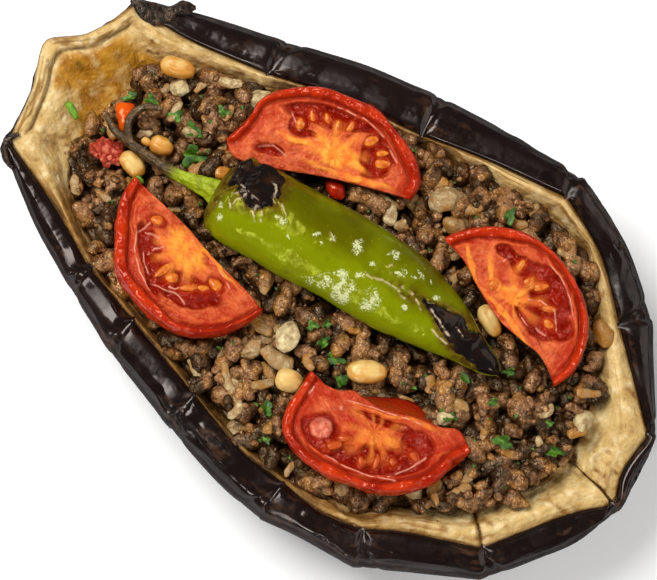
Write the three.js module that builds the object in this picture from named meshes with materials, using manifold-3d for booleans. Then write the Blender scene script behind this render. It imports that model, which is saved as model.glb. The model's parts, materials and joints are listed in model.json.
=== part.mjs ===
// A stuffed roast eggplant: half an eggplant opened into a boat, filled with minced meat and topped with
// four tomato wedges, one grilled green pepper, pine nuts and diced red pepper. Millimetres, +Z up, +X from
// the stem end to the blossom end, origin under the middle of the boat on its foot.
import * as THREE from "three";
import { mergeVertices } from "three/addons/utils/BufferGeometryUtils.js";
import Module from "manifold-3d";

const wasm = await Module();
wasm.setup();

// ---------------------------------------------------------------- driving dimensions
const BELLY_HEIGHT = 24; // where the skin bulges furthest out
const FOOT_SHARE_X = 0.7; // the flat foot, as a share of the belly's outline
const FOOT_SHARE_Y = 0.48;
const CREST_SHARE = 0.25; // the skin's crest lies this share of the overhang outside the lip
const CREST_RISE = 0.8; // and this much above it
const CUT_EDGE = 3.4; // thickness of the flesh where its top edge is cut
const WALL_FOOT_HEIGHT = 13; // where the hollow's wall turns into its floor
const WALL_LEAN = 2; // the wall's foot lies this far in from its edge
const EDGE_PASSES = 4; // times that the hollow's edge is evened out
const FLOOR_HEIGHT = 7;
const FLOOR_SHARE = 0.8;
const UNDERSIDE_TURNS = [0.25, 0.5, 0.75]; // sections between foot and belly, as shares of a quarter turn
const FLANK_TURNS = [0.4, 0.72]; // and between belly and crest
const CUT_SHARE = 0.5; // the flesh's top edge takes at most this share of its width
const CUT_FALL = 0.12; // and falls by this share of the drop
const OUTWARD_REACH = 2; // samples to each side over which a direction across the outline is taken
const SAME_POINT = 1e-4; // vertices nearer than this are one
const GAP = 0.5; // clearance between pieces that touch in the real food
const STEPS_PER_SIDE = 3; // samples between two neighbouring corners of the outline

// The lip, where skin meets flesh, as the corners of its outline, counter-clockwise from the stem end. A
// fold is a sharp corner with a crease below it, and a soft corner is rounded. name, kind, x, y, height,
// overhang of the belly outside it, width of the flesh inside it, drop to the filling
const LIP = [
  ["stem_corner_near", "fold", -86.2, -21.2, 39.0, 2.0, 13.0, 6.5],
  ["neck_near", "soft", -67.4, -27.4, 37.5, 6.5, 5.0, 4.0],
  ["knot_near", "fold", -50.4, -34.7, 37.0, 6.7, 2.2, 3.5],
  ["pleat_near", "fold", -33.4, -38.7, 37.5, 9.1, 2.0, 3.5],
  ["seam_near", "fold", -9.9, -44.5, 37.5, 9.6, 2.0, 3.5],
  ["hip_near", "soft", 8.6, -48.7, 38.0, 9.2, 2.4, 3.5],
  ["pinch_near", "fold", 21.6, -48.9, 37.0, 9.9, 3.0, 3.5],
  ["bow_near", "soft", 32.6, -49.2, 37.5, 7.2, 4.0, 3.5],
  ["tuck_near", "fold", 43.6, -46.6, 36.5, 8.6, 5.0, 3.5],
  ["hollow_near", "soft", 51.6, -41.2, 36.0, 9.0, 6.5, 3.5],
  ["pinch_blossom", "fold", 70.1, -32.5, 35.5, 7.0, 9.0, 3.5],
  ["flank_blossom", "soft", 77.1, -21.2, 35.0, 7.2, 9.5, 3.5],
  ["char_blossom", "soft", 83.2, -12.0, 34.5, 6.6, 11.0, 3.5],
  ["corner_blossom", "fold", 90.2, -4.2, 35.0, 1.6, 15.5, 3.5],
  ["dip_blossom", "soft", 87.2, 3.8, 35.0, 4.2, 13.5, 3.5],
  ["corner_far", "fold", 86.9, 14.9, 36.0, 2.4, 14.0, 3.5],
  ["flank_far", "fold", 65.6, 32.8, 37.0, 9.3, 6.0, 3.5],
  ["shoulder_far", "soft", 51.6, 44.6, 37.5, 8.0, 3.0, 3.5],
  ["peak_far", "fold", 36.1, 51.4, 39.0, 7.5, 6.0, 4.5],
  ["bow_far", "soft", 13.6, 47.3, 38.5, 10.5, 3.0, 4.0],
  ["seam_far", "fold", -3.4, 42.8, 38.0, 12.8, 1.8, 3.5],
  ["waist_far", "soft", -23.4, 39.1, 38.0, 12.0, 1.8, 3.5],
  ["step_far", "fold", -44.4, 32.5, 38.0, 11.0, 2.4, 4.0],
  ["neck_far", "soft", -66.4, 27.5, 39.0, 8.6, 7.5, 5.5],
  ["stem_corner_far", "fold", -81.9, 26.0, 41.0, 2.5, 14.0, 8.0],
  ["stem_edge_far", "soft", -85.9, 13.3, 42.0, 1.0, 17.0, 9.5],
  ["stem_peak", "soft", -92.8, 4.6, 42.5, 0.6, 20.0, 10.0],
  ["stem_edge_near", "soft", -89.0, -7.0, 41.0, 1.0, 17.0, 8.5],
];

// The heap of filling: its crown, how it falls away, and the size of its lumps.
const HEAP_CROWN = 37.6;
const HEAP_FALL_STEM = 0.0009; // mm of fall for each square mm towards the stem end
const HEAP_FALL_SIDE = 0.0007;
const HEAP_SHOULDER = 0.16; // share of the way in from the edge over which the heap rises
const LUMP_HEIGHT = 1.1;
const LUMP_LENGTH_X = 4.6;
const LUMP_LENGTH_Y = 3.7;
const HEAP_RINGS = 8;

// Tomato wedges. `at` is the middle of the straight edge of the upper cut face, yaw turns the wedge about
// +Z, and tilt lifts its round edge. The belly of the round edge leans towards the end that skew names, -1
// to 1.
const TOMATO_WEDGES = [
  { name: "tomato_wedge_1", at: [-16.3, 19.0, 43.6], yaw: 24, tilt: 9, size: [46.5, 22.5, 12], skew: -0.45 },
  { name: "tomato_wedge_2", at: [38.9, 15.7, 43.2], yaw: -17, tilt: 9, size: [44.7, 20.5, 11.5], skew: 0.25 },
  { name: "tomato_wedge_3", at: [-30.6, -14.2, 43.2], yaw: 171, tilt: 13, size: [46.7, 21.5, 12.5], skew: 0 },
  { name: "tomato_wedge_4", at: [31.6, -19.0, 43.4], yaw: 190, tilt: 9, size: [43.4, 21.5, 12], skew: 0.2 },
];
const WEDGE_STEPS = 14; // along the wedge
const WEDGE_RIDGE_SHARE = 0.62; // the lower cut face meets the skin this share of the depth out
const WEDGE_DEPTH_POWER = 0.72; // how squarely the depth falls off to the tips
const WEDGE_THICK_POWER = 0.8;
const WEDGE_SKEW_REACH = 0.35;
const WEDGE_BOW = 0.07; // the straight edge bows out by this share of the depth
const WEDGE_TIP_DROP = 0.3;

// The green pepper: its spine, with half width and half height at each point, then its stem, which forks at
// the end.
const PEPPER_SPINE = [
  { at: [-34.5, -0.9, 43.0], wide: 7.0, high: 5.2 },
  { at: [-31.5, -0.5, 43.5], wide: 10.2, high: 7.0 },
  { at: [-25.0, 0.8, 44.0], wide: 11.3, high: 7.8 },
  { at: [-10.0, 3.2, 44.2], wide: 11.6, high: 7.8 },
  { at: [5.0, 4.9, 44.2], wide: 11.6, high: 7.7 },
  { at: [18.0, 5.9, 44.0], wide: 10.6, high: 7.2 },
  { at: [30.0, 5.6, 43.4], wide: 7.8, high: 6.0 },
  { at: [39.0, 4.8, 42.8], wide: 4.6, high: 4.6 },
  { at: [45.5, 4.4, 42.4], wide: 2.5, high: 2.8 },
  { at: [48.0, 4.2, 42.2], wide: 0.8, high: 1.0 },
];
const STEM_SPINE = [
  { at: [-33.0, -0.9, 43.4], r: 3.6 },
  { at: [-37.5, -1.3, 43.2], r: 2.5 },
  { at: [-42.5, -2.4, 42.4], r: 1.7 },
  { at: [-49.0, -3.3, 41.2], r: 1.35 },
  { at: [-56.0, -3.3, 39.8], r: 1.2 },
  { at: [-62.0, -3.1, 38.7], r: 1.15 },
  { at: [-66.3, -2.7, 38.4], r: 0.95 },
  { at: [-70.4, -0.9, 38.6], r: 0.7 },
];
const STEM_FORK = [
  { at: [-60.5, -3.2, 39.0], r: 0.8 },
  { at: [-63.2, -1.0, 39.6], r: 0.95 },
  { at: [-64.6, 2.1, 40.0], r: 0.95 },
  { at: [-63.9, 5.3, 40.2], r: 0.95 },
  { at: [-61.8, 7.3, 40.4], r: 0.85 },
  { at: [-59.3, 8.4, 40.2], r: 0.6 },
];
const TUBE_STEPS = 12; // sides of the stem's tubes
const PEPPER_STEPS_AROUND = 20;
const PEPPER_STEPS_PER_SPAN = 2;
const STEM_STEPS_PER_SPAN = 2;

// Pine nuts and diced red pepper: the middle, the half sizes and the turn about +Z.
const PINE_NUTS = [
  { name: "pine_nut_1", at: [-57.2, -7.0, 37.6], half: [3.8, 2.4, 2.2], yaw: -12 },
  { name: "pine_nut_2", at: [-54.2, 1.0, 38.0], half: [2.9, 2.4, 2.3], yaw: 10 },
  { name: "pine_nut_3", at: [21.8, -14.6, 39.9], half: [4.9, 2.8, 2.6], yaw: 35 },
  { name: "pine_nut_4", at: [7.6, -27.6, 39.2], half: [3.4, 2.9, 2.7], yaw: 15 },
  { name: "pine_nut_5", at: [38.6, 14.1, 38.7], half: [4.4, 2.4, 2.1], yaw: -28 },
  { name: "pine_nut_6", at: [-63.4, 19.4, 38.2], half: [3.9, 3.5, 3.1], yaw: 25 },
];
const RED_DICE = [
  { name: "red_dice_1", at: [-67.4, 2.8, 36.2], half: [1.9, 2.9, 1.5], yaw: -14 },
  { name: "red_dice_2", at: [-64.6, -8.2, 35.8], half: [3.3, 2.9, 2.1], yaw: 30 },
  { name: "red_dice_3", at: [-12.2, 18.2, 38.0], half: [2.9, 1.9, 1.7], yaw: 12 },
];
const NUT_SIDES = 12;
const NUT_ROWS = 7;
const NUT_TAPER = 0.16; // how much thinner one end of a nut is than its middle
const DICE_ROUNDING = 0.45; // exponent of the rounded box: 1 is an ellipsoid, 0 a sharp box

// ---------------------------------------------------------------- curves
const mix = (a, b, t) => a + (b - a) * t;
const smooth = (t) => {
  const c = Math.min(1, Math.max(0, t));
  return c * c * (3 - 2 * c);
};

// A closed run through rows of numbers. Soft rows get the chord-length Catmull-Rom slope, and folds have
// none across them, so a side between two folds is straight.
function closedRun(rows, isFold, steps) {
  const n = rows.length;
  const side = (i) => Math.hypot(rows[(i + 1) % n][0] - rows[i][0], rows[(i + 1) % n][1] - rows[i][1]);
  const slope = (k, i, c) => {
    const here = rows[i][c];
    const next = rows[(i + 1) % n][c];
    if (isFold[k]) return next - here;
    const before = (k - 1 + n) % n;
    const after = (k + 1) % n;
    return ((rows[after][c] - rows[before][c]) / (side(before) + side(k))) * side(i);
  };
  const out = [];
  for (let i = 0; i < n; i++) {
    const j = (i + 1) % n;
    for (let step = 0; step < steps; step++) {
      const t = step / steps;
      const [reached, cubed] = [smooth(t), t * t * t];
      const [leaving, arriving] = [cubed - 2 * t * t + t, cubed - t * t];
      out.push(
        rows[i].map((v, c) => {
          return mix(v, rows[j][c], reached) + leaving * slope(i, i, c) + arriving * slope(j, i, c);
        }),
      );
    }
  }
  return out;
}

// The outward direction across a closed counter-clockwise run at one of its rows, so taken that it turns
// gently.
function across(rows, i) {
  const n = rows.length;
  const back = rows[(i - OUTWARD_REACH + n) % n];
  const ahead = rows[(i + OUTWARD_REACH) % n];
  const run = Math.hypot(ahead[0] - back[0], ahead[1] - back[1]);
  return [(ahead[1] - back[1]) / run, (back[0] - ahead[0]) / run];
}

// The lip's samples with the outward direction at each.
function lipSamples() {
  const rows = closedRun(LIP.map((r) => r.slice(2)), LIP.map((r) => r[1] === "fold"), STEPS_PER_SIDE);
  return rows.map(([x, y, z, overhang, flesh, drop], i) => {
    return { x, y, z, overhang, flesh, drop, out: across(rows, i) };
  });
}
const SAMPLES = lipSamples();

const outward = (s, distance, z) => [s.x + s.out[0] * distance, s.y + s.out[1] * distance, z];
const scaled = ([x, y], kx, ky, z) => [x * kx, y * ky, z];

// ---------------------------------------------------------------- solids
// One closed body from rings of equal count, with a point closing each end.
function ringsToGeometry(first, rings, last) {
  const n = rings[0].length;
  const position = [first, ...rings.flat(), last].flat();
  const index = [];
  const at = (r, i) => 1 + r * n + (i % n);
  for (let i = 0; i < n; i++) {
    index.push(0, at(0, i + 1), at(0, i));
    for (let r = 0; r + 1 < rings.length; r++) {
      index.push(at(r, i), at(r, i + 1), at(r + 1, i));
      index.push(at(r, i + 1), at(r + 1, i + 1), at(r + 1, i));
    }
    index.push(at(rings.length - 1, i), at(rings.length - 1, i + 1), 1 + rings.length * n);
  }
  const g = new THREE.BufferGeometry();
  g.setAttribute("position", new THREE.Float32BufferAttribute(position, 3));
  g.setIndex(index);
  return g;
}

function toManifold(geometry) {
  const bare = geometry.clone();
  bare.deleteAttribute("normal");
  bare.deleteAttribute("uv");
  const merged = mergeVertices(bare, SAME_POINT);
  return new wasm.Manifold(
    new wasm.Mesh({
      numProp: 3,
      vertProperties: new Float32Array(merged.attributes.position.array),
      triVerts: new Uint32Array(merged.index.array),
    }),
  );
}

function toGeometry(solid) {
  const mesh = solid.getMesh();
  const g = new THREE.BufferGeometry();
  g.setAttribute("position", new THREE.BufferAttribute(Float32Array.from(mesh.vertProperties), 3));
  g.setIndex(Array.from(mesh.triVerts));
  return g;
}

// The same closed body with every vertex moved out along its normal.
function grown(geometry, by) {
  const bare = geometry.clone();
  bare.deleteAttribute("normal");
  bare.deleteAttribute("uv");
  const g = mergeVertices(bare, SAME_POINT);
  g.computeVertexNormals();
  const [p, n] = [g.attributes.position, g.attributes.normal];
  for (let i = 0; i < p.count; i++) {
    p.setXYZ(i, p.getX(i) + by * n.getX(i), p.getY(i) + by * n.getY(i), p.getZ(i) + by * n.getZ(i));
  }
  return g;
}

// Skin from the foot out to the belly and in to the crest, then the lip, the flesh and the hollow's wall
// and floor.
function shellGeometry() {
  const belly = SAMPLES.map((s) => outward(s, s.overhang, BELLY_HEIGHT));
  const foot = belly.map((b) => scaled(b, FOOT_SHARE_X, FOOT_SHARE_Y, 0));
  const underside = UNDERSIDE_TURNS.map((t) => {
    const a = (t * Math.PI) / 2;
    return belly.map((b, i) => [
      mix(foot[i][0], b[0], Math.sin(a)),
      mix(foot[i][1], b[1], Math.sin(a)),
      BELLY_HEIGHT * (1 - Math.cos(a)),
    ]);
  });
  const flank = FLANK_TURNS.map((t) => {
    const a = (t * Math.PI) / 2;
    return SAMPLES.map((s) => {
      const crest = s.overhang * CREST_SHARE;
      const distance = mix(crest, s.overhang, Math.cos(a));
      return outward(s, distance, mix(BELLY_HEIGHT, s.z + CREST_RISE, Math.sin(a)));
    });
  });
  const crest = SAMPLES.map((s) => outward(s, s.overhang * CREST_SHARE, s.z + CREST_RISE));
  const lip = SAMPLES.map((s) => outward(s, 0, s.z));
  const cut = SAMPLES.map((s) => {
    return outward(s, -Math.min(CUT_EDGE, s.flesh * CUT_SHARE), s.z - CUT_FALL * s.drop);
  });
  const rings = [foot, ...underside, belly, ...flank, crest, lip, cut, ...hollowRings(0).reverse()];
  return ringsToGeometry([0, 0, 0], rings, [0, 0, FLOOR_HEIGHT]);
}

// The hollow's upper edge, evened out along its run, with the inward direction at each of its points.
function hollowEdge() {
  const n = SAMPLES.length;
  let edge = SAMPLES.map((s) => outward(s, -s.flesh, s.z - s.drop));
  for (let pass = 0; pass < EDGE_PASSES; pass++) {
    edge = edge.map((p, i) => p.map((v, c) => (edge[(i - 1 + n) % n][c] + 2 * v + edge[(i + 1) % n][c]) / 4));
  }
  return edge.map(([x, y, z], i) => ({ x, y, z, inward: across(edge, i).map((v) => -v) }));
}
const HOLLOW = hollowEdge();

// The hollow's floor, wall foot and upper edge, moved in by a gap.
function hollowRings(gap) {
  const inset = (distance, z) => {
    return HOLLOW.map((e) => [e.x + e.inward[0] * distance, e.y + e.inward[1] * distance, z]);
  };
  const edge = inset(gap, 0).map(([x, y], i) => [x, y, HOLLOW[i].z]);
  const wall = inset(gap + WALL_LEAN, WALL_FOOT_HEIGHT + gap);
  const floor = wall.map((w) => scaled(w, FLOOR_SHARE, FLOOR_SHARE, FLOOR_HEIGHT + gap));
  return [floor, wall, edge];
}

// Height of the heap's uneven top.
function heapHeight(x, y) {
  const fall = HEAP_FALL_STEM * Math.min(0, x) ** 2 + HEAP_FALL_SIDE * y * y;
  const lumps =
    Math.sin(x / LUMP_LENGTH_X + 0.8) * Math.cos(y / LUMP_LENGTH_Y) +
    0.6 * Math.sin((x + 1.7 * y) / LUMP_LENGTH_X + 2.1);
  return HEAP_CROWN - fall + LUMP_HEIGHT * lumps;
}

function heapGeometry() {
  const [floor, wall, edge] = hollowRings(GAP);
  const top = [];
  for (let ring = 1; ring <= HEAP_RINGS; ring++) {
    const inward = ring / (HEAP_RINGS + 1);
    top.push(
      edge.map(([x, y, z]) => {
        const [px, py] = [x * (1 - inward), y * (1 - inward)];
        return [px, py, mix(z, heapHeight(px, py), smooth(inward / HEAP_SHOULDER))];
      }),
    );
  }
  return ringsToGeometry([0, 0, FLOOR_HEIGHT + GAP], [floor, wall, edge, ...top], [0, 0, heapHeight(0, 0)]);
}

// Half a rounded slice of tomato: the cut face lies in z = 0 with its straight edge along x, the skin is
// its round edge, and a second cut face slopes back under it to the straight edge.
function wedgeGeometry({ size: [length, depth, thick], skew }) {
  const rings = [];
  for (let i = 1; i < WEDGE_STEPS; i++) {
    const t = i / WEDGE_STEPS;
    const around = Math.PI * t;
    const reach = Math.sin(around) ** WEDGE_DEPTH_POWER;
    const x = (-Math.cos(around) + skew * WEDGE_SKEW_REACH * reach) * (length / 2);
    const d = depth * reach;
    const h = thick * Math.sin(around) ** WEDGE_THICK_POWER;
    const bow = -WEDGE_BOW * d;
    rings.push([
      [x, bow, 0],
      [x, mix(bow, d, 0.1), -0.42 * h],
      [x, mix(bow, d, 0.33), -0.8 * h],
      [x, d * WEDGE_RIDGE_SHARE, -h],
      [x, d * 0.82, -0.84 * h],
      [x, d * 0.95, -0.55 * h],
      [x, d * 1.015, -0.22 * h],
      [x, d, 0],
      [x, mix(bow, d, 0.6), -0.02 * h],
    ]);
  }
  return ringsToGeometry([-length / 2, 0, -WEDGE_TIP_DROP], rings, [length / 2, 0, -WEDGE_TIP_DROP]);
}

// A smooth run through points given as rows of numbers, open at both ends.
function openRun(rows, steps) {
  const out = [];
  const last = rows.length - 1;
  for (let i = 0; i < last; i++) {
    for (let step = 0; step < steps; step++) {
      const t = step / steps;
      const [reached, cubed] = [smooth(t), t * t * t];
      out.push(
        rows[i].map((v, c) => {
          const before = rows[Math.max(0, i - 1)][c];
          const after = rows[Math.min(last, i + 2)][c];
          const [m0, m1] = [(rows[i + 1][c] - before) / 2, (after - v) / 2];
          return mix(v, rows[i + 1][c], reached) + (cubed - 2 * t * t + t) * m0 + (cubed - t * t) * m1;
        }),
      );
    }
  }
  out.push(rows[last]);
  return out;
}

// A closed tube along rows of x, y, z, half width and half height, whose sections stand upright across its
// run.
function tubeGeometry(rows, sides) {
  const rings = rows.map(([x, y, z, wide, high], i) => {
    const a = rows[Math.max(0, i - 1)];
    const b = rows[Math.min(rows.length - 1, i + 1)];
    const run = Math.hypot(b[0] - a[0], b[1] - a[1]);
    const across = [-(b[1] - a[1]) / run, (b[0] - a[0]) / run];
    return Array.from({ length: sides }, (_, k) => {
      const turn = (2 * Math.PI * k) / sides;
      const [c, s] = [Math.cos(turn) * wide, Math.sin(turn) * high];
      return [x + across[0] * c, y + across[1] * c, z + s];
    });
  });
  return ringsToGeometry(rows[0].slice(0, 3), rings, rows[rows.length - 1].slice(0, 3));
}

function pepperGeometry() {
  const body = openRun(PEPPER_SPINE.map((p) => [...p.at, p.wide, p.high]), PEPPER_STEPS_PER_SPAN);
  const tube = (spine) => {
    const rows = openRun(spine.map((p) => [...p.at, p.r, p.r]), STEM_STEPS_PER_SPAN);
    return toManifold(tubeGeometry(rows, TUBE_STEPS));
  };
  const whole = toManifold(tubeGeometry(body, PEPPER_STEPS_AROUND)).add(tube(STEM_SPINE)).add(tube(STEM_FORK));
  return toGeometry(whole);
}

// A rounded body of half sizes a, b, c. With exponent 1 it is an ellipsoid, and a smaller one squares it
// off.
function pebbleGeometry([a, b, c], exponent, taper) {
  const bend = (v) => Math.sign(v) * Math.abs(v) ** exponent;
  const rings = [];
  for (let row = 1; row < NUT_ROWS; row++) {
    const along = -Math.cos((Math.PI * row) / NUT_ROWS);
    const thick = Math.sin((Math.PI * row) / NUT_ROWS);
    const narrow = 1 - taper * along;
    rings.push(
      Array.from({ length: NUT_SIDES }, (_, k) => {
        const turn = (2 * Math.PI * k) / NUT_SIDES;
        const out = bend(thick) * narrow;
        return [a * bend(along), b * out * bend(Math.cos(turn)), c * out * bend(Math.sin(turn))];
      }),
    );
  }
  return ringsToGeometry([-a, 0, 0], rings, [a, 0, 0]);
}

// ---------------------------------------------------------------- the assembly
const COLOURS = {
  eggplant: new THREE.MeshStandardMaterial({ color: 0x241a1e, roughness: 0.35, metalness: 0 }),
  meat: new THREE.MeshStandardMaterial({ color: 0x6b4a35, roughness: 0.6, metalness: 0 }),
  tomato: new THREE.MeshStandardMaterial({ color: 0xc8321a, roughness: 0.3, metalness: 0 }),
  pepper: new THREE.MeshStandardMaterial({ color: 0x7c8a1c, roughness: 0.3, metalness: 0 }),
  nut: new THREE.MeshStandardMaterial({ color: 0xe0b878, roughness: 0.45, metalness: 0 }),
  red_pepper: new THREE.MeshStandardMaterial({ color: 0xb02a16, roughness: 0.3, metalness: 0 }),
};

function placed(name, geometry, material, { at = [0, 0, 0], yaw = 0, tilt = 0 }) {
  const mesh = new THREE.Mesh(geometry, material);
  mesh.name = name;
  mesh.position.set(...at);
  mesh.rotation.set(THREE.MathUtils.degToRad(tilt), 0, THREE.MathUtils.degToRad(yaw), "ZYX");
  mesh.updateMatrixWorld(true);
  return mesh;
}

const toppings = [
  ...TOMATO_WEDGES.map((w) => placed(w.name, wedgeGeometry(w), COLOURS.tomato, w)),
  placed("green_pepper", pepperGeometry(), COLOURS.pepper, {}),
  ...PINE_NUTS.map((n) => placed(n.name, pebbleGeometry(n.half, 1, NUT_TAPER), COLOURS.nut, n)),
  ...RED_DICE.map((d) => placed(d.name, pebbleGeometry(d.half, DICE_ROUNDING, 0), COLOURS.red_pepper, d)),
];

// The toppings lie in the heap, so each one's place, with a gap, is cut out of it.
const filling = toppings.reduce(
  (heap, mesh) => heap.subtract(toManifold(grown(mesh.geometry, GAP).applyMatrix4(mesh.matrixWorld))),
  toManifold(heapGeometry()),
);

const eggplant = new THREE.Group();
eggplant.name = "stuffed_eggplant";
eggplant.add(placed("eggplant_shell", shellGeometry(), COLOURS.eggplant, {}));
eggplant.add(placed("meat_filling", toGeometry(filling), COLOURS.meat, {}));
eggplant.add(...toppings);

export default eggplant;
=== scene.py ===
import itertools
import json

import bmesh
import bpy
import numpy as np
from bpy.props import FloatProperty, FloatVectorProperty, IntProperty, PointerProperty
from mathutils import Matrix, Vector
from mathutils.bvhtree import BVHTree

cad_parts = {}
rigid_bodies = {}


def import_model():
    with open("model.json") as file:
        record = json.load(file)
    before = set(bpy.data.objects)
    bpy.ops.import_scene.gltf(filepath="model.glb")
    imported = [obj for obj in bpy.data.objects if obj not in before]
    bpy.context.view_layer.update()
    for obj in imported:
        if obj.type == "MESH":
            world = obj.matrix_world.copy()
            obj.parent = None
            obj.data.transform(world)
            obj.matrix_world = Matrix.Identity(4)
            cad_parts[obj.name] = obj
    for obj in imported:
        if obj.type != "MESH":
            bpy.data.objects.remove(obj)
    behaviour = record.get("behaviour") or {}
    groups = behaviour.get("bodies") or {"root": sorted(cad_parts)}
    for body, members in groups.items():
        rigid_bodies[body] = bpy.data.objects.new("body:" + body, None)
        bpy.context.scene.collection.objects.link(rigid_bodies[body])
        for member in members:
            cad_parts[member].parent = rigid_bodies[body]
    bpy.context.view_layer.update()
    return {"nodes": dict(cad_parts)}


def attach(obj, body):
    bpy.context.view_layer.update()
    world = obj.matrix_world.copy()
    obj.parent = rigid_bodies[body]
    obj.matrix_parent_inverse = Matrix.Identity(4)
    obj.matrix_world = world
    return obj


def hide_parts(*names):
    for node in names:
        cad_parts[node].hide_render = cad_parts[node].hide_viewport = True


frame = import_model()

bl_info = {
    "name": "Stuffed eggplant",
    "version": (1, 0, 0),
    "blender": (4, 5, 0),
    "location": "View3D > Sidebar > Eggplant",
    "description": "A roast eggplant boat with minced meat, tomato wedges, a green pepper and garnish",
    "category": "Add Mesh",
}

MM = 0.001
TAU = 2 * np.pi

# ---------------------------------------------------------------- the boat's sizes, in millimetres
BELLY_HEIGHT = 24.0
FOOT_SHARE = np.array([0.7, 0.48, 1.0])
CREST_SHARE = 0.25
CREST_RISE = 0.8
FLOOR_HEIGHT = 7.0
STEPS_PER_SIDE = 36
OUTWARD_REACH = 24  # samples to each side over which the outward direction is taken
EDGE_BLUR = 1.41 * STEPS_PER_SIDE / 3  # spread of the evening of the hollow's edge, in samples

# The lip's corners: name, kind, x, y, height, overhang of the belly, width of flesh, drop to the filling's
# edge. The kind is soft, or the side of the fold on which its ridge stands.
LIP = [
    ("stem_corner_near", "after", -86.2, -21.2, 39.0, 2.0, 13.0, 6.5),
    ("neck_near", "soft", -67.4, -27.4, 37.5, 6.5, 5.0, 4.0),
    ("knot_near", "after", -50.4, -34.7, 37.0, 6.7, 2.2, 3.5),
    ("pleat_near", "after", -33.4, -38.7, 37.5, 9.1, 2.0, 3.5),
    ("seam_near", "after", -9.9, -44.5, 37.5, 9.6, 2.0, 3.5),
    ("hip_near", "soft", 8.6, -48.7, 38.0, 9.2, 2.4, 3.5),
    ("pinch_near", "before", 21.6, -48.9, 37.0, 9.9, 3.0, 3.5),
    ("bow_near", "soft", 32.6, -49.2, 37.5, 7.2, 4.0, 3.5),
    ("tuck_near", "after", 43.6, -46.6, 36.5, 8.6, 5.0, 3.5),
    ("hollow_near", "soft", 51.6, -41.2, 36.0, 9.0, 6.5, 3.5),
    ("pinch_blossom", "after", 70.1, -32.5, 35.5, 7.0, 9.0, 3.5),
    ("flank_blossom", "soft", 77.1, -21.2, 35.0, 7.2, 9.5, 3.5),
    ("char_blossom", "soft", 83.2, -12.0, 34.5, 6.6, 11.0, 3.5),
    ("corner_blossom", "before", 90.2, -4.2, 35.0, 1.6, 15.5, 3.5),
    ("dip_blossom", "soft", 87.2, 3.8, 35.0, 4.2, 13.5, 3.5),
    ("corner_far", "after", 86.9, 14.9, 36.0, 2.4, 14.0, 3.5),
    ("flank_far", "after", 65.6, 32.8, 37.0, 9.3, 6.0, 3.5),
    ("shoulder_far", "soft", 51.6, 44.6, 37.5, 8.0, 3.0, 3.5),
    ("peak_far", "after", 36.1, 51.4, 39.0, 7.5, 6.0, 4.5),
    ("bow_far", "soft", 13.6, 47.3, 38.5, 10.5, 3.0, 4.0),
    ("seam_far", "before", -3.4, 42.8, 38.0, 12.8, 1.8, 3.5),
    ("waist_far", "soft", -23.4, 39.1, 38.0, 12.0, 1.8, 3.5),
    ("step_far", "before", -44.4, 32.5, 38.0, 11.0, 2.4, 4.0),
    ("neck_far", "soft", -66.4, 27.5, 39.0, 8.6, 7.5, 5.5),
    ("stem_corner_far", "before", -81.9, 26.0, 41.0, 2.5, 14.0, 8.0),
    ("stem_edge_far", "soft", -85.9, 13.3, 42.0, 1.0, 17.0, 9.5),
    ("stem_peak", "soft", -92.8, 4.6, 42.5, 0.6, 20.0, 10.0),
    ("stem_edge_near", "soft", -89.0, -7.0, 41.0, 1.0, 17.0, 8.5),
]
BARE_CORNERS = {"stem_corner_near", "stem_corner_far"}
CRACKED = {"pinch_blossom", "corner_blossom"}
HEAP_CROWN = 37.6
HEAP_FALL_STEM = 0.0009
HEAP_FALL_SIDE = 0.0007

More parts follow.
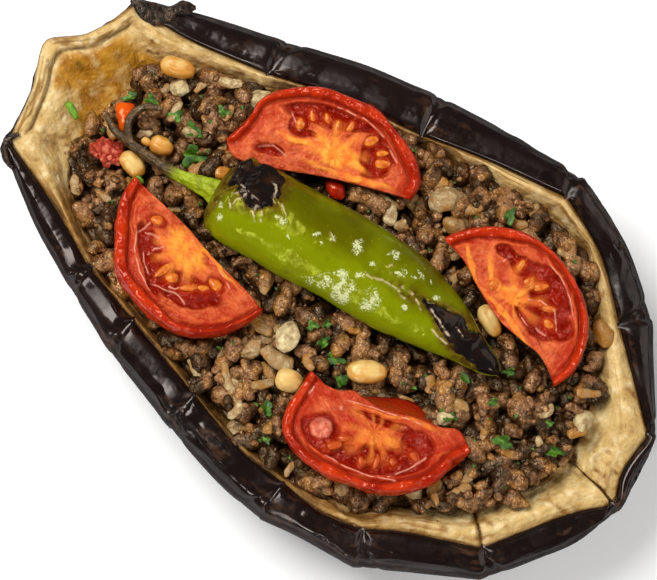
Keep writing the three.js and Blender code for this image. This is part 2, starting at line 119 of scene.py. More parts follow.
# Tomato wedges as in the frame: the middle of the straight edge, the yaw and tilt in degrees and the
# thickness. The rest lies on the cut face, with x along the straight edge and y towards the skin. The round
# edge runs from the +x tip to the -x tip and the straight edge runs back. Pockets, cores and seeds are
# ellipses: x, y, half sizes and turn.
# Films are runs of x and y along which pale wet films are painted as highlight lines. Blisters, x, y and
# radius, are raised bubbles painted with a pale speckle as a highlight.
TOMATO_WEDGES = [
    {
        "node": "tomato_wedge_1", "at": (-16.3, 19.0, 43.6),
        "yaw": 24, "tilt": 9, "thick": 12, "ledge": (1.2, 0.0, 20.0), "facet": 0.5, "glow": 1.0,
        "round_edge": [(22.6, -2.2), (24.0, 2.6), (21.4, 8.4), (16, 13.5), (9.6, 18.1), (2.3, 19.8),
                       (-5.6, 20.7), (-14.0, 18.3), (-19.6, 14.3), (-21.4, 9.4), (-25.8, 2.6)],
        "straight_edge": [(-22.5, -1.2), (-13, -1.8), (0, -1.2), (13, -1.5)],
        "rims": (2.5, 2.2, 1.6), "hub": (1.7, 4.8),
        "pockets": [(-1.0, 13.9, 12.5, 3.0, -2), (12.8, 7.4, 4.6, 7.0, -18), (-8.6, 10.6, 2.8, 2.6, 12),
                    (-6.0, 8.3, 2.6, 1.1, -8), (-14.4, 2.6, 4.2, 1.5, 4)],
        "cores": [(1.6, 5.3, 6.0, 3.8, -23), (-8.1, 6.3, 7.0, 0.9, -12), (6.6, 0.2, 12.0, 1.0, -5),
                  (8.0, 3.4, 4.0, 1.2, -30)],
        "seeds": [(9.7, 10.1, 2.0, 1.2, 27), (13.8, 5.2, 2.0, 1.2, 12), (13.2, 7.6, 1.5, 0.8, 17),
                  (-2.2, 13.2, 1.5, 0.7, 110), (0.8, 11.7, 1.7, 0.7, 92), (4.0, 12.4, 1.8, 0.8, 75),
                  (-5.8, 13.0, 2.0, 0.7, 115), (-8.5, 10.6, 1.5, 1.1, 100)],
        "glint_films": [((-0.1, 16.6), (2.5, 16.2), (4.7, 15.4)), ((6.5, 15.3), (9.1, 14.0), (12.7, 11.8)),
                  ((14.2, 9.5), (15.8, 7.8), (17.2, 6.1)), ((-17.5, 2.9), (-14.2, 3.9), (-9.7, 2.0)),
                  ((-11.1, 13.0), (-9.6, 10.8), (-8.4, 9.0), (-7.5, 10.7))],
    },
    {
        "node": "tomato_wedge_2", "at": (38.9, 15.7, 43.2),
        "yaw": -17, "tilt": 9, "thick": 11.5, "ledge": (1.0, 0.0, 20.0), "facet": 0.9, "glow": 0.8,
        "round_edge": [(22.9, 0.6), (22.8, 6.6), (18.5, 13.8), (12.3, 18.3), (3.7, 20.4), (-4.9, 20.2),
                       (-12.5, 17.1), (-18.2, 11.8), (-22.0, 4.6), (-22.9, 0.7)],
        "straight_edge": [(-15.5, 1.5), (-8.0, 0.3), (1.5, -0.4), (9.5, 1.0), (14.8, 2.2)],
        "rims": (1.8, 1.4, 2.3), "hub": (-0.3, 5.1),
        "pockets": [(2.6, 13.0, 9.0, 4.2, 0), (8.6, 8.4, 7.0, 4.2, 25), (-10.6, 10.9, 3.0, 2.0, 22),
                    (-5.6, 12.2, 3.2, 2.8, 22)],
        "cores": [(-1.0, 6.0, 4.6, 2.2, 20), (3.0, 1.0, 14.0, 1.0, 2), (-9.7, 5.7, 4.5, 0.8, -25),
                  (-14.0, 2.6, 7.0, 0.7, -16)],
        "seeds": [(-5.8, 12.0, 1.7, 1.0, 112), (1.4, 12.6, 2.0, 1.0, 60), (-1.6, 11.0, 1.6, 0.8, 85),
                  (6.9, 10.9, 1.9, 0.8, 45), (9.8, 8.6, 1.6, 1.0, 20), (-5.9, 3.8, 1.5, 1.4, 53)],
        "glint_films": [((7.7, 5.4), (9.8, 5.7), (11.4, 6.3)), ((4.7, 4.3), (6.5, 4.2), (8.2, 4.4)),
                  ((-9.1, 9.0), (-9.3, 10.4), (-9.0, 11.6)),
                  ((2.1, 8.2), (3.8, 10.5), (8.4, 11.6), (12.1, 9.1)),
                  ((-3.7, 17.4), (1.9, 17.8), (7.8, 16.6), (12.3, 14.3))],
    },
    {
        "node": "tomato_wedge_3", "at": (-30.6, -14.2, 43.2),
        "yaw": 171, "tilt": 13, "thick": 12.5, "ledge": (0.9, 0.0, 20.0), "facet": 0.5, "glow": 0.9,
        "round_edge": [(23.6, -0.6), (21.7, 5.7), (15.3, 13.6), (8.3, 19.5), (-1.2, 21.3), (-9.0, 20.4),
                       (-15.5, 17.5), (-20.4, 12.0), (-22.9, 4.6), (-23.8, 0.2)],
        "straight_edge": [(-18.0, -0.6), (-5.7, -0.5), (6.0, -1.3), (16.3, -0.9)],
        "rims": (2.7, 2.6, 1.5), "hub": (0.9, 3.5),
        "pockets": [(5.2, 11.2, 10.0, 2.9, 147), (-6.5, 10.2, 9.5, 4.0, 27), (0.5, 12.6, 5.0, 3.6, 0),
                    (11.3, 3.2, 2.4, 2.0, 30), (-10.6, 4.2, 3.2, 2.4, 10)],
        "cores": [(1.3, 3.6, 6.9, 4.6, -10), (-6.0, 0.2, 10.0, 0.8, 2)],
        "seeds": [(11.5, 3.0, 1.7, 1.3, 32), (0.6, 11.0, 2.8, 1.0, 84), (-2.2, 10.9, 1.6, 1.3, 48),
                  (-6.7, 9.4, 2.3, 1.0, 50), (-10.3, 3.8, 2.2, 1.3, 0), (-9.0, 7.0, 1.8, 0.8, 40)],
        "glint_films": [((6.6, 10.6), (6.6, 8.3), (5.3, 6.8)), ((11.1, 7.4), (9.6, 6.5), (7.5, 6.1)),
                  ((7.8, 11.2), (5.8, 12.8), (2.8, 14.2)),
                  ((-0.2, 15.1), (-3.1, 14.2), (-6.5, 12.3), (-8.9, 12.8)),
                  ((-3.2, 12.9), (-4.8, 12.3), (-5.2, 11.1)), ((-8.8, 0.8), (-11.3, 1.2), (-13.6, 2.1)),
                  ((12.1, 4.8), (12.3, 9.1), (9.3, 12.8), (4.3, 15.9), (-0.9, 17.1))],
    },
    {
        "node": "tomato_wedge_4", "at": (31.6, -19.0, 43.4),
        "yaw": 190, "tilt": 9, "thick": 12, "ledge": (8.0, -2.5, 11.5), "facet": 0.1, "glow": 0.55,
        "round_edge": [(21.3, 0.4), (21.8, 5.7), (22.3, 11.5), (20.3, 17.1), (14.3, 20.4), (7.9, 21.7),
                       (-0.4, 20.8), (-7.1, 19.6), (-14.6, 15.2), (-18.0, 11.2), (-19.5, 7.0), (-20.2, 3.9),
                       (-22.6, 0.6)],
        "straight_edge": [(-19.2, -2.3), (-17.2, -3.1), (-13.9, -1.9), (-8.4, -1.3), (-4.5, -0.5),
                          (-0.7, 0.5), (2.1, 0.8), (6.9, 0.3), (9.7, -0.2), (13.0, 1.4), (17.0, 1.5)],
        "rims": (2.2, 2.0, 2.6), "hub": (0.7, 6.9),
        "pockets": [(12.4, 11.9, 4.6, 4.4, 0), (6.6, 14.6, 5.0, 2.2, 10), (-4.6, 12.4, 11.0, 3.6, 24),
                    (-10.6, 5.6, 4.6, 4.4, 0), (-2.0, 3.6, 8.0, 1.2, 8)],
        "cores": [(-0.2, 8.6, 6.0, 2.4, 20), (-1.0, 1.4, 10.0, 0.5, 12), (-8.5, -0.3, 4.5, 0.7, 8)],
        "seeds": [(-3.1, 13.4, 1.8, 0.7, 97), (0.3, 14.9, 1.3, 0.7, 117), (6.4, 11.8, 1.5, 0.8, 20),
                  (8.2, 14.6, 2.6, 1.0, 40), (-6.6, 11.6, 1.3, 0.7, 115), (-10.4, 7.6, 1.6, 0.8, 150)],
        "glint_films": [((-7.2, 15.4), (-9.6, 12.5), (-11.6, 9.5), (-13.4, 7.0)), ((18.6, 3.4), (19.0, 5.4)),
                  ((8.7, 17.3), (3.0, 17.9), (-3.4, 17.3), (-9.2, 15.4)),
                  ((9.6, 2.9), (4.7, 1.7), (-2.6, 0.7), (-9.0, 0.0))],
        "blisters": [(12.6, 11.8, 3.1), (10.2, 4.9, 1.0)],
    },
]
WEDGE_RIDGE_SHARE = 0.62

# The pepper's spine and stem as in the frame: x, y, z, half width, half height.
PEPPER_SPINE = [
    (-34.5, -0.9, 43.0, 7.0, 5.2), (-31.5, -0.5, 43.5, 10.2, 7.0), (-25.0, 0.8, 44.0, 11.3, 7.8),
    (-10.0, 3.2, 44.2, 11.6, 7.8), (5.0, 4.9, 44.2, 11.6, 7.7), (18.0, 5.9, 44.0, 10.6, 7.2),
    (30.0, 5.6, 43.4, 7.8, 6.0), (39.0, 4.8, 42.8, 4.6, 4.6), (45.5, 4.4, 42.4, 2.5, 2.8),
    (48.0, 4.2, 42.2, 0.8, 1.0),
]
# Crazed places on the pepper's skin, where it is painted pale as a broken highlight and its shine breaks up
# by a bump: x, y and radius.
CRAZED_GLINTS = [
    (-2.4, -5.7, 1.4), (0.9, -4.1, 2.1), (3.7, -0.1, 1.5), (6.1, -3.7, 2.7), (6.6, -1.4, 1.9),
    (12.5, -1.1, 2.9), (6.9, 2.4, 1.2), (-16.0, 1.4, 1.3), (2.8, 6.8, 1.6), (1.7, 8.6, 1.0),
    (-3.7, 5.5, 0.9), (11.0, 11.7, 1.6), (15.1, 8.8, 1.4), (18.7, 11.0, 1.4), (20.7, 2.2, 0.8),
    (25.4, 9.1, 0.8), (22.2, 11.2, 0.6), (8.0, 6.4, 0.7), (-4.6, 2.7, 0.6), (-7.3, 4.1, 0.8),
    (-12.1, -0.5, 0.6), (-31.0, -4.2, 1.0), (-29.0, -6.4, 0.9),
]
# Fine raised creases of the pepper's skin, painted with broken pale lines as highlights: runs of x and y.
PEPPER_GLINT_CREASES = [
    [(-28.4, -3.6), (-30.2, -1.1), (-29.7, 0.5), (-27.9, 2.1)], [(-28.2, -1.9), (-28.2, -0.3), (-26.8, 1.5)],
    [(-29.9, 3.1), (-28.1, 2.3)], [(-23.8, 7.7), (-21.8, 6.3), (-20.3, 4.3)], [(-20.3, -1.6), (-21.8, 1.0)],
    [(-21.4, -2.4), (-23.1, -0.9), (-23.1, 0.7)], [(-19.5, 5.2), (-17.5, 4.2), (-16.4, 3.2)],
    [(-16.1, 0.9), (-16.9, 2.2)], [(25.7, 6.1), (29.6, 4.5), (33.0, 3.2)],
    [(29.0, 2.3), (31.6, 1.7), (33.8, 1.6)], [(21.4, 5.6), (23.9, 4.3)],
    [(8.2, 3.1), (9.6, 3.1), (12.1, 4.3), (14.8, 4.6), (17.0, 4.5), (19.3, 4.1)], [(17.2, 5.9), (20.4, 6.1)],
    [(12.9, 7.1), (11.4, 7.7), (11.7, 9.1)], [(-4.9, 6.3), (-2.9, 5.0)], [(33.5, 6.3), (35.6, 5.6)],
]
STEM_SPINE = [
    (-33.0, -0.9, 43.4, 3.6), (-37.5, -1.3, 43.2, 2.5), (-42.5, -2.4, 42.4, 1.7), (-49.0, -3.3, 41.2, 1.35),
    (-56.0, -3.3, 39.8, 1.2), (-62.0, -3.1, 38.7, 1.15), (-66.3, -2.7, 38.4, 0.95), (-70.4, -0.9, 38.6, 0.7),
]
STEM_FORK = [
    (-60.5, -3.2, 39.0, 0.8), (-63.2, -1.0, 39.6, 0.95), (-64.6, 2.1, 40.0, 0.95), (-63.9, 5.3, 40.2, 0.95),
    (-61.8, 7.3, 40.4, 0.85), (-59.3, 8.4, 40.2, 0.6),
]


# ---------------------------------------------------------------- noise
def hashed(cell, seed):
    """A repeatable number from 0 to 1 for each whole-number cell: its numbers times large primes, mixed by
    shifts."""
    primes = np.array([73856093, 19349663, 83492791], np.int64)
    h = (cell.astype(np.int64) * primes).sum(-1) + seed * 2654435761
    h = (h ^ (h >> 15)) * 2246822519 & 0xFFFFFFFF
    h = (h ^ (h >> 13)) * 3266489917 & 0xFFFFFFFF
    return (h ^ (h >> 16)) / 0xFFFFFFFF


def rolling(points, size, seed=0):
    """Noise from -1 to 1 that varies over size: hashed corners of a lattice, blended by smoothsteps."""
    p = points / size
    cell = np.floor(p)
    f = p - cell
    f = f * f * (3 - 2 * f)
    total = 0
    for corner in itertools.product((0, 1), repeat=3):
        weight = np.prod(np.where(np.array(corner), f, 1 - f), axis=-1)
        total = total + weight * hashed(cell + corner, seed)
    return 2 * total - 1


def layered(points, size, octaves=3, seed=0):
    """Rolling noises added up, each half the size and half the height of the one before."""
    return sum(rolling(points, size / 2**k, seed + k) / 2**k for k in range(octaves))


def pebbled(points, size, seed=0):
    """Granules round jittered lattice points: a dome from 1 at the nearest one to 0 at the seams, and its
    number."""
    p = points / size
    cell = np.floor(p)
    nearest, number = np.full(p.shape[:-1], 9.0), np.zeros(p.shape[:-1])
    for offset in itertools.product((-1, 0, 1), repeat=3):
        other = cell + offset
        jitter = np.stack([hashed(other, seed + k) for k in (0, 7, 13)], -1)
        far = np.sum((other + jitter - p) ** 2, -1)
        number = np.where(far < nearest, jitter[..., 0], number)
        nearest = np.minimum(nearest, far)
    return np.clip(1 - nearest / 0.8, 0, 1), number


def smoothstep(value, low, high):
    """0 at low, 1 at high and a cubic ease between them."""
    t = np.clip((value - low) / (high - low), 0, 1)
    return t * t * (3 - 2 * t)


def mix(a, b, t):
    return a + (b - a) * t


def bell(value, width):
    """1 at zero, falling to both sides as exp(-(value / width)^2)."""
    return np.exp(-((value / width) ** 2))


def unit(vectors):
    """Directions of length one."""
    return vectors / np.linalg.norm(vectors, axis=-1, keepdims=True)


# ---------------------------------------------------------------- curves and grids
def closed_run(rows, fold, steps):
    """Closed cubic run through rows of numbers: soft rows have the chord-length slope, folds go straight at
    the next."""
    rows = np.array(rows, float)
    after, before = np.roll(rows, -1, 0), np.roll(rows, 1, 0)
    chord = after - rows
    side = np.hypot(chord[:, 0], chord[:, 1])
    slope = (after - before) / (np.roll(side, 1) + side)[:, None]
    start = np.where(fold[:, None], chord, slope * side[:, None])[:, None]
    end = np.where(np.roll(fold, -1)[:, None], chord, np.roll(slope, -1, 0) * side[:, None])[:, None]
    t = (np.arange(steps) / steps)[None, :, None]
    run = mix(rows[:, None], after[:, None], t * t * (3 - 2 * t))
    run = run + (t**3 - 2 * t**2 + t) * start + (t**3 - t**2) * end
    return run.reshape(-1, rows.shape[1])


def open_run(rows, steps):
    """Open cubic run through rows of numbers, whose slope at each row is half the step across its
    neighbours."""
    rows = np.array(rows, float)
    padded = np.vstack([rows[:1], rows, rows[-1:]])
    slope = (padded[2:] - padded[:-2]) / 2
    t = (np.arange(steps) / steps)[None, :, None]
    a, b = rows[:-1, None], rows[1:, None]
    run = mix(a, b, t * t * (3 - 2 * t))
    run = run + (t**3 - 2 * t**2 + t) * slope[:-1, None] + (t**3 - t**2) * slope[1:, None]
    return np.vstack([run.reshape(-1, rows.shape[1]), rows[-1:]])


def ring_faces(rings, around, first=0):
    """Quads between neighbouring closed rings of equal count, wound outwards where each next ring lies
    further up."""
    r, i = np.meshgrid(np.arange(rings - 1), np.arange(around), indexing="ij")
    j = (i + 1) % around
    quads = np.stack([r * around + i, r * around + j, (r + 1) * around + j, (r + 1) * around + i], -1)
    return quads.reshape(-1, 4) + first


def capped_rings(start, rings, end):
    """Points and faces of one closed body: a pole, closed rings of points, and another pole."""
    count, around = rings.shape[:2]
    points = np.vstack([[start], rings.reshape(-1, 3), [end]])
    i = np.arange(around)
    j = (i + 1) % around
    last = 1 + (count - 1) * around
    bottom = np.stack([np.zeros_like(i), 1 + j, 1 + i], -1)
    top = np.stack([last + i, last + j, np.full_like(i, len(points) - 1)], -1)
    return points, [*ring_faces(count, around, 1).tolist(), *bottom.tolist(), *top.tolist()]


def ball(level):
    """Unit directions and triangles of a sphere divided evenly."""
    bm = bmesh.new()
    bmesh.ops.create_icosphere(bm, subdivisions=level, radius=1.0)
    directions = np.array([v.co for v in bm.verts])
    triangles = np.array([[v.index for v in f.verts] for f in bm.faces])
    bm.free()
    return unit(directions), triangles


def closed_tube(rings):
    """A tube's points and faces, with each end drawn to the middle of its last ring."""
    return capped_rings(rings[0].mean(0), rings, rings[-1].mean(0))


def outwards(rings):
    """Unit directions from the middle of each ring to its points."""
    return unit(rings - rings.mean(1, keepdims=True))


def yawed(degrees):
    return np.array(Matrix.Rotation(np.radians(degrees), 3, "Z"))


def tilted(degrees):
    return np.array(Matrix.Rotation(np.radians(degrees), 3, "X"))


# ---------------------------------------------------------------- pieces
def add_object(name, data):
    made = bpy.data.objects.new(name, data)
    bpy.context.scene.collection.objects.link(made)
    return made


def add_piece(name, points, faces, material, slot, nodes=(), marks=None):
    """A mesh object in metres from points in millimetres, riding on the one body. marks are numbers kept per
    point."""
    mesh = bpy.data.meshes.new(name)
    mesh.from_pydata(points * MM, [], faces if isinstance(faces, list) else faces.tolist())
    mesh.shade_smooth()
    for key, values in (marks or {}).items():
        attribute = mesh.attributes.new(key, "FLOAT", "POINT")
        attribute.data.foreach_set("value", np.ascontiguousarray(values, np.float32))
    mesh.materials.append(material)
    piece = add_object(name, mesh)
    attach(piece, "root")
    if nodes:
        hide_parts(*nodes)
    return piece


def paint_faces(piece, faces, values, material):
    """Gives a piece's faces a second material where a mark passes one half."""
    piece.data.materials.append(material)
    chosen = values[[face[0] for face in faces]] > 0.5
    piece.data.polygons.foreach_set("material_index", chosen.astype(np.int32))


def joined(shapes, triangles):
    """Points and faces of many copies of one grid, given as an array of copies by points by three."""
    count, size = shapes.shape[:2]
    faces = triangles[None] + (np.arange(count) * size)[:, None, None]
    return shapes.reshape(-1, 3), faces.reshape(-1, triangles.shape[1])


# ---------------------------------------------------------------- material wiring
def wire(tree, kind, inputs=None, output=0, **settings):
    """Adds a node with its settings, links or sets its inputs, and gives back one of its outputs."""
    node = tree.nodes.new(kind)
    for key, value in settings.items():
        setattr(node, key, value)
    for key, value in (inputs or {}).items():
        if isinstance(value, bpy.types.NodeSocket):
            tree.links.new(value, node.inputs[key])
        else:
            node.inputs[key].default_value = value
    return node.outputs[output]


def blended(tree, factor, a, b):
    """A colour that goes from a to b as the factor goes from 0 to 1."""
    return wire(tree, "ShaderNodeMix", {0: factor, 6: a, 7: b}, 2, data_type="RGBA")


def calculated(tree, operation, a, b=0.0, c=0.0, clamp=False):
    inputs = {0: a, 1: b, 2: c}
    return wire(tree, "ShaderNodeMath", inputs, operation=operation, use_clamp=clamp)


def ranged(tree, value, low, high, to_low=0.0, to_high=1.0):
    inputs = {"Value": value, "From Min": low, "From Max": high, "To Min": to_low, "To Max": to_high}
    return wire(tree, "ShaderNodeMapRange", inputs, interpolation_type="SMOOTHSTEP")


def mark(tree, name):
    return wire(tree, "ShaderNodeAttribute", output=2, attribute_name=name)


def opaque(colour):
    return (*colour, 1.0)


def scaled(colour, red, green, blue):
    """An opaque colour with its three parts multiplied."""
    return (colour[0] * red, colour[1] * green, colour[2] * blue, 1.0)


def times(tree, a, b, clamp=False):
    return calculated(tree, "MULTIPLY", a, b, 0.0, clamp)


def stained(tree, colour, mask, share, stain):
    """The colour with an opaque stain over it, as strong as the mask times its share."""
    return blended(tree, times(tree, mask, share), colour, opaque(stain))


def toned(tree, tone, stops):
    """A colour ramp over a tone, with stops of place and colour whose first two are the ends."""
    ramp = tree.nodes.new("ShaderNodeValToRGB")
    for i, (place, colour) in enumerate(stops):
        element = ramp.color_ramp.elements[i] if i < 2 else ramp.color_ramp.elements.new(place)
        element.position = place
        element.color = opaque(colour)
    tree.links.new(tone, ramp.inputs[0])
    return ramp.outputs[0]


def effect(name, inputs, output, build):
    """A node group shared by several materials: float inputs with defaults, one float output, wired by
    build."""
    if name in bpy.data.node_groups:
        return bpy.data.node_groups[name]
    group = bpy.data.node_groups.new(name, "ShaderNodeTree")
    for key, default in inputs.items():
        socket = group.interface.new_socket(key, in_out="INPUT", socket_type="NodeSocketFloat")
        socket.default_value = default
    group.interface.new_socket(output, in_out="OUTPUT", socket_type="NodeSocketFloat")
    given = group.nodes.new("NodeGroupInput")
    place = wire(group, "ShaderNodeTexCoord", output=3)
    result = build(group, given.outputs, place)
    wire_out = group.nodes.new("NodeGroupOutput")
    group.links.new(result, wire_out.inputs[0])
    return group


def scale_for(group, size):
    """The scale at which a texture's features have a size in metres."""
    return calculated(group, "DIVIDE", 1.0, size)


def use_effect(tree, group, **values):
    node = tree.nodes.new("ShaderNodeGroup")
    node.node_tree = group
    for key, value in values.items():
        node.inputs[key.replace("_", " ")].default_value = value
    return node.outputs[0]


def blotches(tree, size, low=0.4, high=0.6, detail=4.0, seed=0.0):
    """Soft-edged patches: layered noise of a size in metres, cut between two levels."""

    def build(group, given, place):
        shifted = wire(group, "ShaderNodeVectorMath", {0: place, 1: given["Seed"]}, operation="ADD")
        scale = scale_for(group, given["Size"])
        inputs = {"Vector": shifted, "Scale": scale, "Detail": given["Detail"]}
        noise = wire(group, "ShaderNodeTexNoise", inputs)
        return ranged(group, noise, given["Low"], given["High"])

    defaults = {"Size": 0.01, "Low": 0.4, "High": 0.6, "Detail": 4.0, "Seed": 0.0}
    group = effect("Blotches", defaults, "Mask", build)
    return use_effect(tree, group, Size=size, Low=low, High=high, Detail=detail, Seed=seed)


def granules(tree, size):
    """Rounded grains: one minus the distance to the nearest cell centre, for cells of a size in metres."""

    def build(group, given, place):
        scale = scale_for(group, given["Size"])
        inputs = {"Vector": place, "Scale": scale, "Randomness": given["Spread"]}
        cells = wire(group, "ShaderNodeTexVoronoi", inputs, feature="SMOOTH_F1")
        return calculated(group, "SUBTRACT", 1.0, cells)

    group = effect("Granules", {"Size": 0.001, "Spread": 1.0}, "Height", build)
    return use_effect(tree, group, Size=size)


def oiled(tree, size, dry, wet, cover=0.5):
    """Roughness that falls from dry to wet in patches of a size in metres."""

    def build(group, given, place):
        scale = scale_for(group, given["Size"])
        noise = wire(group, "ShaderNodeTexNoise", {"Vector": place, "Scale": scale, "Detail": 3.0})
        low = calculated(group, "SUBTRACT", given["Cover"], 0.08)
        high = calculated(group, "ADD", given["Cover"], 0.08)
        return ranged(group, noise, low, high, given["Wet"], given["Dry"])

    defaults = {"Size": 0.005, "Dry": 0.6, "Wet": 0.2, "Cover": 0.5}
    group = effect("Oiled", defaults, "Roughness", build)
    return use_effect(tree, group, Size=size, Dry=dry, Wet=wet, Cover=cover)


def bumped(tree, height, distance, strength=1.0, normal=None):
    """A bump of the given depth in metres."""
    inputs = {"Height": height, "Distance": distance, "Strength": strength}
    if normal:
        inputs["Normal"] = normal
    return wire(tree, "ShaderNodeBump", inputs)


def new_material(name, gloss=0.5, tint=(1, 1, 1), **shader):
    """A node material with its Principled shader's plain sockets set, and its tree and shader. Gloss is the
    specular level and tint the colour of the shine."""
    material = bpy.data.materials.new(name)
    material.use_nodes = True
    tree = material.node_tree
    principled = tree.nodes["Principled BSDF"]
    principled.inputs["Specular IOR Level"].default_value = gloss
    principled.inputs["Specular Tint"].default_value = opaque(tint)
    for key, value in shader.items():
        principled.inputs[key.replace("_", " ")].default_value = value
    return material, tree, principled


def soft_glow(radius):
    """Socket values for light that spreads under the surface, as far in each colour as the radius says."""
    return {"Subsurface_Weight": 0.3, "Subsurface_Scale": 0.0012, "Subsurface_Radius": radius}


def finish_material(tree, principled, colour, roughness, normal=None):
    tree.links.new(colour, principled.inputs["Base Color"])
    tree.links.new(roughness, principled.inputs["Roughness"])
    if normal:
        tree.links.new(normal, principled.inputs["Normal"])


# ---------------------------------------------------------------- settings
def colour_setting(name, description, default):
    return FloatVectorProperty(name=name, description=description, default=default, subtype="COLOR",
                               min=0, max=1)


def length_setting(name, description, millimetres):
    return FloatProperty(name=name, description=description, default=millimetres * MM, unit="LENGTH", min=0)


class BoatSettings(bpy.types.PropertyGroup):
    skin: colour_setting("Skin", "Colour of the roast skin", (0.0040, 0.0018, 0.0016))
    scuff: colour_setting("Scuff", "Colour of worn places on the skin", (0.05, 0.022, 0.012))
    flesh: colour_setting("Flesh", "Colour of the pale flesh", (0.66, 0.47, 0.205))
    browned: colour_setting("Browned", "Colour of the flesh where it browned", (0.25, 0.118, 0.026))
    skin_thickness: length_setting("Skin thickness", "Thickness of the skin", 0.9)


class MinceSettings(bpy.types.PropertyGroup):
    pale: colour_setting("Pale mince", "Colour of the palest lumps", (0.32, 0.140, 0.042))
    tan: colour_setting("Tan mince", "Colour of the tan lumps", (0.165, 0.064, 0.018))
    brown: colour_setting("Brown mince", "Colour of the brown lumps", (0.075, 0.024, 0.006))
    # The darkest colour also serves as painted shade deep in the heap, on the core and in pits.
    dark: colour_setting("Dark mince", "Colour of the darkest lumps", (0.010, 0.003, 0.001))
    spacing: length_setting("Lump spacing", "Distance between neighbouring lumps", 4.9)
    crumbs: IntProperty(name="Crumbs", description="How many loose crumbs", default=800, min=0)


class TomatoSettings(bpy.types.PropertyGroup):
    skin: colour_setting("Tomato skin", "Colour of the skin", (0.45, 0.012, 0.001))
    wall: colour_setting("Tomato wall", "Colour of the fleshy wall", (0.50, 0.046, 0.010))
    pulp: colour_setting("Tomato pulp", "Colour of the wet pulp round the seeds", (0.185, 0.003, 0.0003))
    core: colour_setting("Tomato core", "Colour of the core and the seeds", (0.88, 0.34, 0.035))


class PepperSettings(bpy.types.PropertyGroup):
    skin: colour_setting("Pepper skin", "Colour of the grilled skin", (0.084, 0.080, 0.0003))
    # Fresh green is also the painted light on the pepper's near side.
    fresh: colour_setting("Fresh green", "Colour of the greenest skin and the stem", (0.165, 0.195, 0.001))
    char: colour_setting("Char", "Colour of the charred patches", (0.006, 0.004, 0.004))


class GarnishSettings(bpy.types.PropertyGroup):
    nut: colour_setting("Pine nut", "Colour of the toasted nuts", (0.53, 0.225, 0.030))
    onion: colour_setting("Onion", "Colour of the cooked onion", (0.31, 0.195, 0.082))
    parsley: colour_setting("Parsley", "Colour of the chopped leaf", (0.040, 0.115, 0.004))
    red_pepper: colour_setting("Red pepper", "Colour of the diced red pepper", (0.45, 0.016, 0.001))


class StageSettings(bpy.types.PropertyGroup):
    floor: colour_setting("Floor", "Colour of the floor", (0.93, 0.93, 0.93))
    key_power: FloatProperty(name="Key light", description="Power of the main lamp", default=6.4,
                             unit="POWER", min=0)


SETTINGS = {
    "boat": BoatSettings,
    "mince": MinceSettings,
    "tomato": TomatoSettings,
    "pepper": PepperSettings,
    "garnish": GarnishSettings,
    "stage": StageSettings,
}


# ---------------------------------------------------------------- the boat
class Outline:
    """The lip's samples as arrays: place, height, overhang, flesh and drop, the outward direction, and the
    hollow."""

    def __init__(self):
        fold = np.array([row[1] != "soft" for row in LIP])
        run = closed_run([row[2:] for row in LIP], fold, STEPS_PER_SIDE)
        self.place = run[:, :2]
        self.height, self.overhang, self.flesh, self.drop = run[:, 2:].T
        self.out = self.across(self.place)
        self.count = len(run)
        self.turn = np.arange(self.count) / self.count * TAU
        hollow = np.column_stack([self.place - self.out * self.flesh[:, None], self.height - self.drop])
        self.hollow = self.evened(hollow)
        self.hollow_out = self.across(self.hollow[:, :2])
        side = np.linalg.norm(np.roll(self.place, -1, 0) - self.place, axis=1)
        self.length = np.concatenate([[0], np.cumsum(side)])
        row = np.arange(self.count) / STEPS_PER_SIDE
        names = [entry[0] for entry in LIP]
        start = names.index("stem_corner_far")
        self.bare = smoothstep(row, start - 0.1, start + 0.25)
        self.bare *= 1 - smoothstep(row, len(LIP) - 0.3, len(LIP) - 0.05)

    def across(self, place):
        """Unit directions across a closed counter-clockwise run: the chord over a few samples, turned
        outwards."""
        chord = np.roll(place, -OUTWARD_REACH, 0) - np.roll(place, OUTWARD_REACH, 0)
        chord = unit(chord)
        return np.column_stack([chord[:, 1], -chord[:, 0]])

    def evened(self, rows):
        """A closed run smoothed by a Gaussian of EDGE_BLUR samples, as a product of its Fourier terms."""
        frequency = np.fft.fftfreq(len(rows))[:, None]
        soft = np.exp(-2 * (np.pi * EDGE_BLUR * frequency) ** 2)
        return np.fft.ifft(np.fft.fft(rows, axis=0) * soft, axis=0).real

    def ring(self, distance, height):
        """The lip moved outwards by a distance, at a height."""
        distance = np.broadcast_to(distance, self.count)
        place = self.place + self.out * distance[:, None]
        return np.column_stack([place, np.broadcast_to(height, self.count)])

    def hollow_ring(self, inward, height):
        """The hollow's edge moved inwards by a distance, at a height."""
        place = self.hollow[:, :2] - self.hollow_out * inward
        return np.column_stack([place, np.broadcast_to(height, self.count)])

    def way_from(self, names, slant=0.0):
        """Signed way along the lip from each named corner, moved on by a slant: one column for each name."""
        whole = self.length[-1]
        rows = [i for i, entry in enumerate(LIP) if entry[0] in names]
        way = self.length[:-1, None] - self.length[np.array(rows) * STEPS_PER_SIDE][None] - slant
        return (way + whole / 2) % whole - whole / 2

    def inside(self, x, y, inward):
        """Whether points lie inside the hollow's edge moved inwards: a count of the edge's crossings to one
        side."""
        edge = self.hollow_ring(inward, 0.0)[::6, :2]
        (ax, ay), (bx, by) = edge.T[:, :, None], np.roll(edge, -1, 0).T[:, :, None]
        spans = (ay > y) != (by > y)
        crossing = ax + (y - ay) / np.where(spans, by - ay, 1) * (bx - ax)
        return (np.sum(spans & (x < crossing), 0) % 2) == 1


BARE_OVERHANG = 0.7  # how far the skin stands out under the stem end's rim of flesh
BARE_DROP = 1.9
FLANK_POWER = 0.6  # one gives an ellipse, and less gives a squarer shoulder


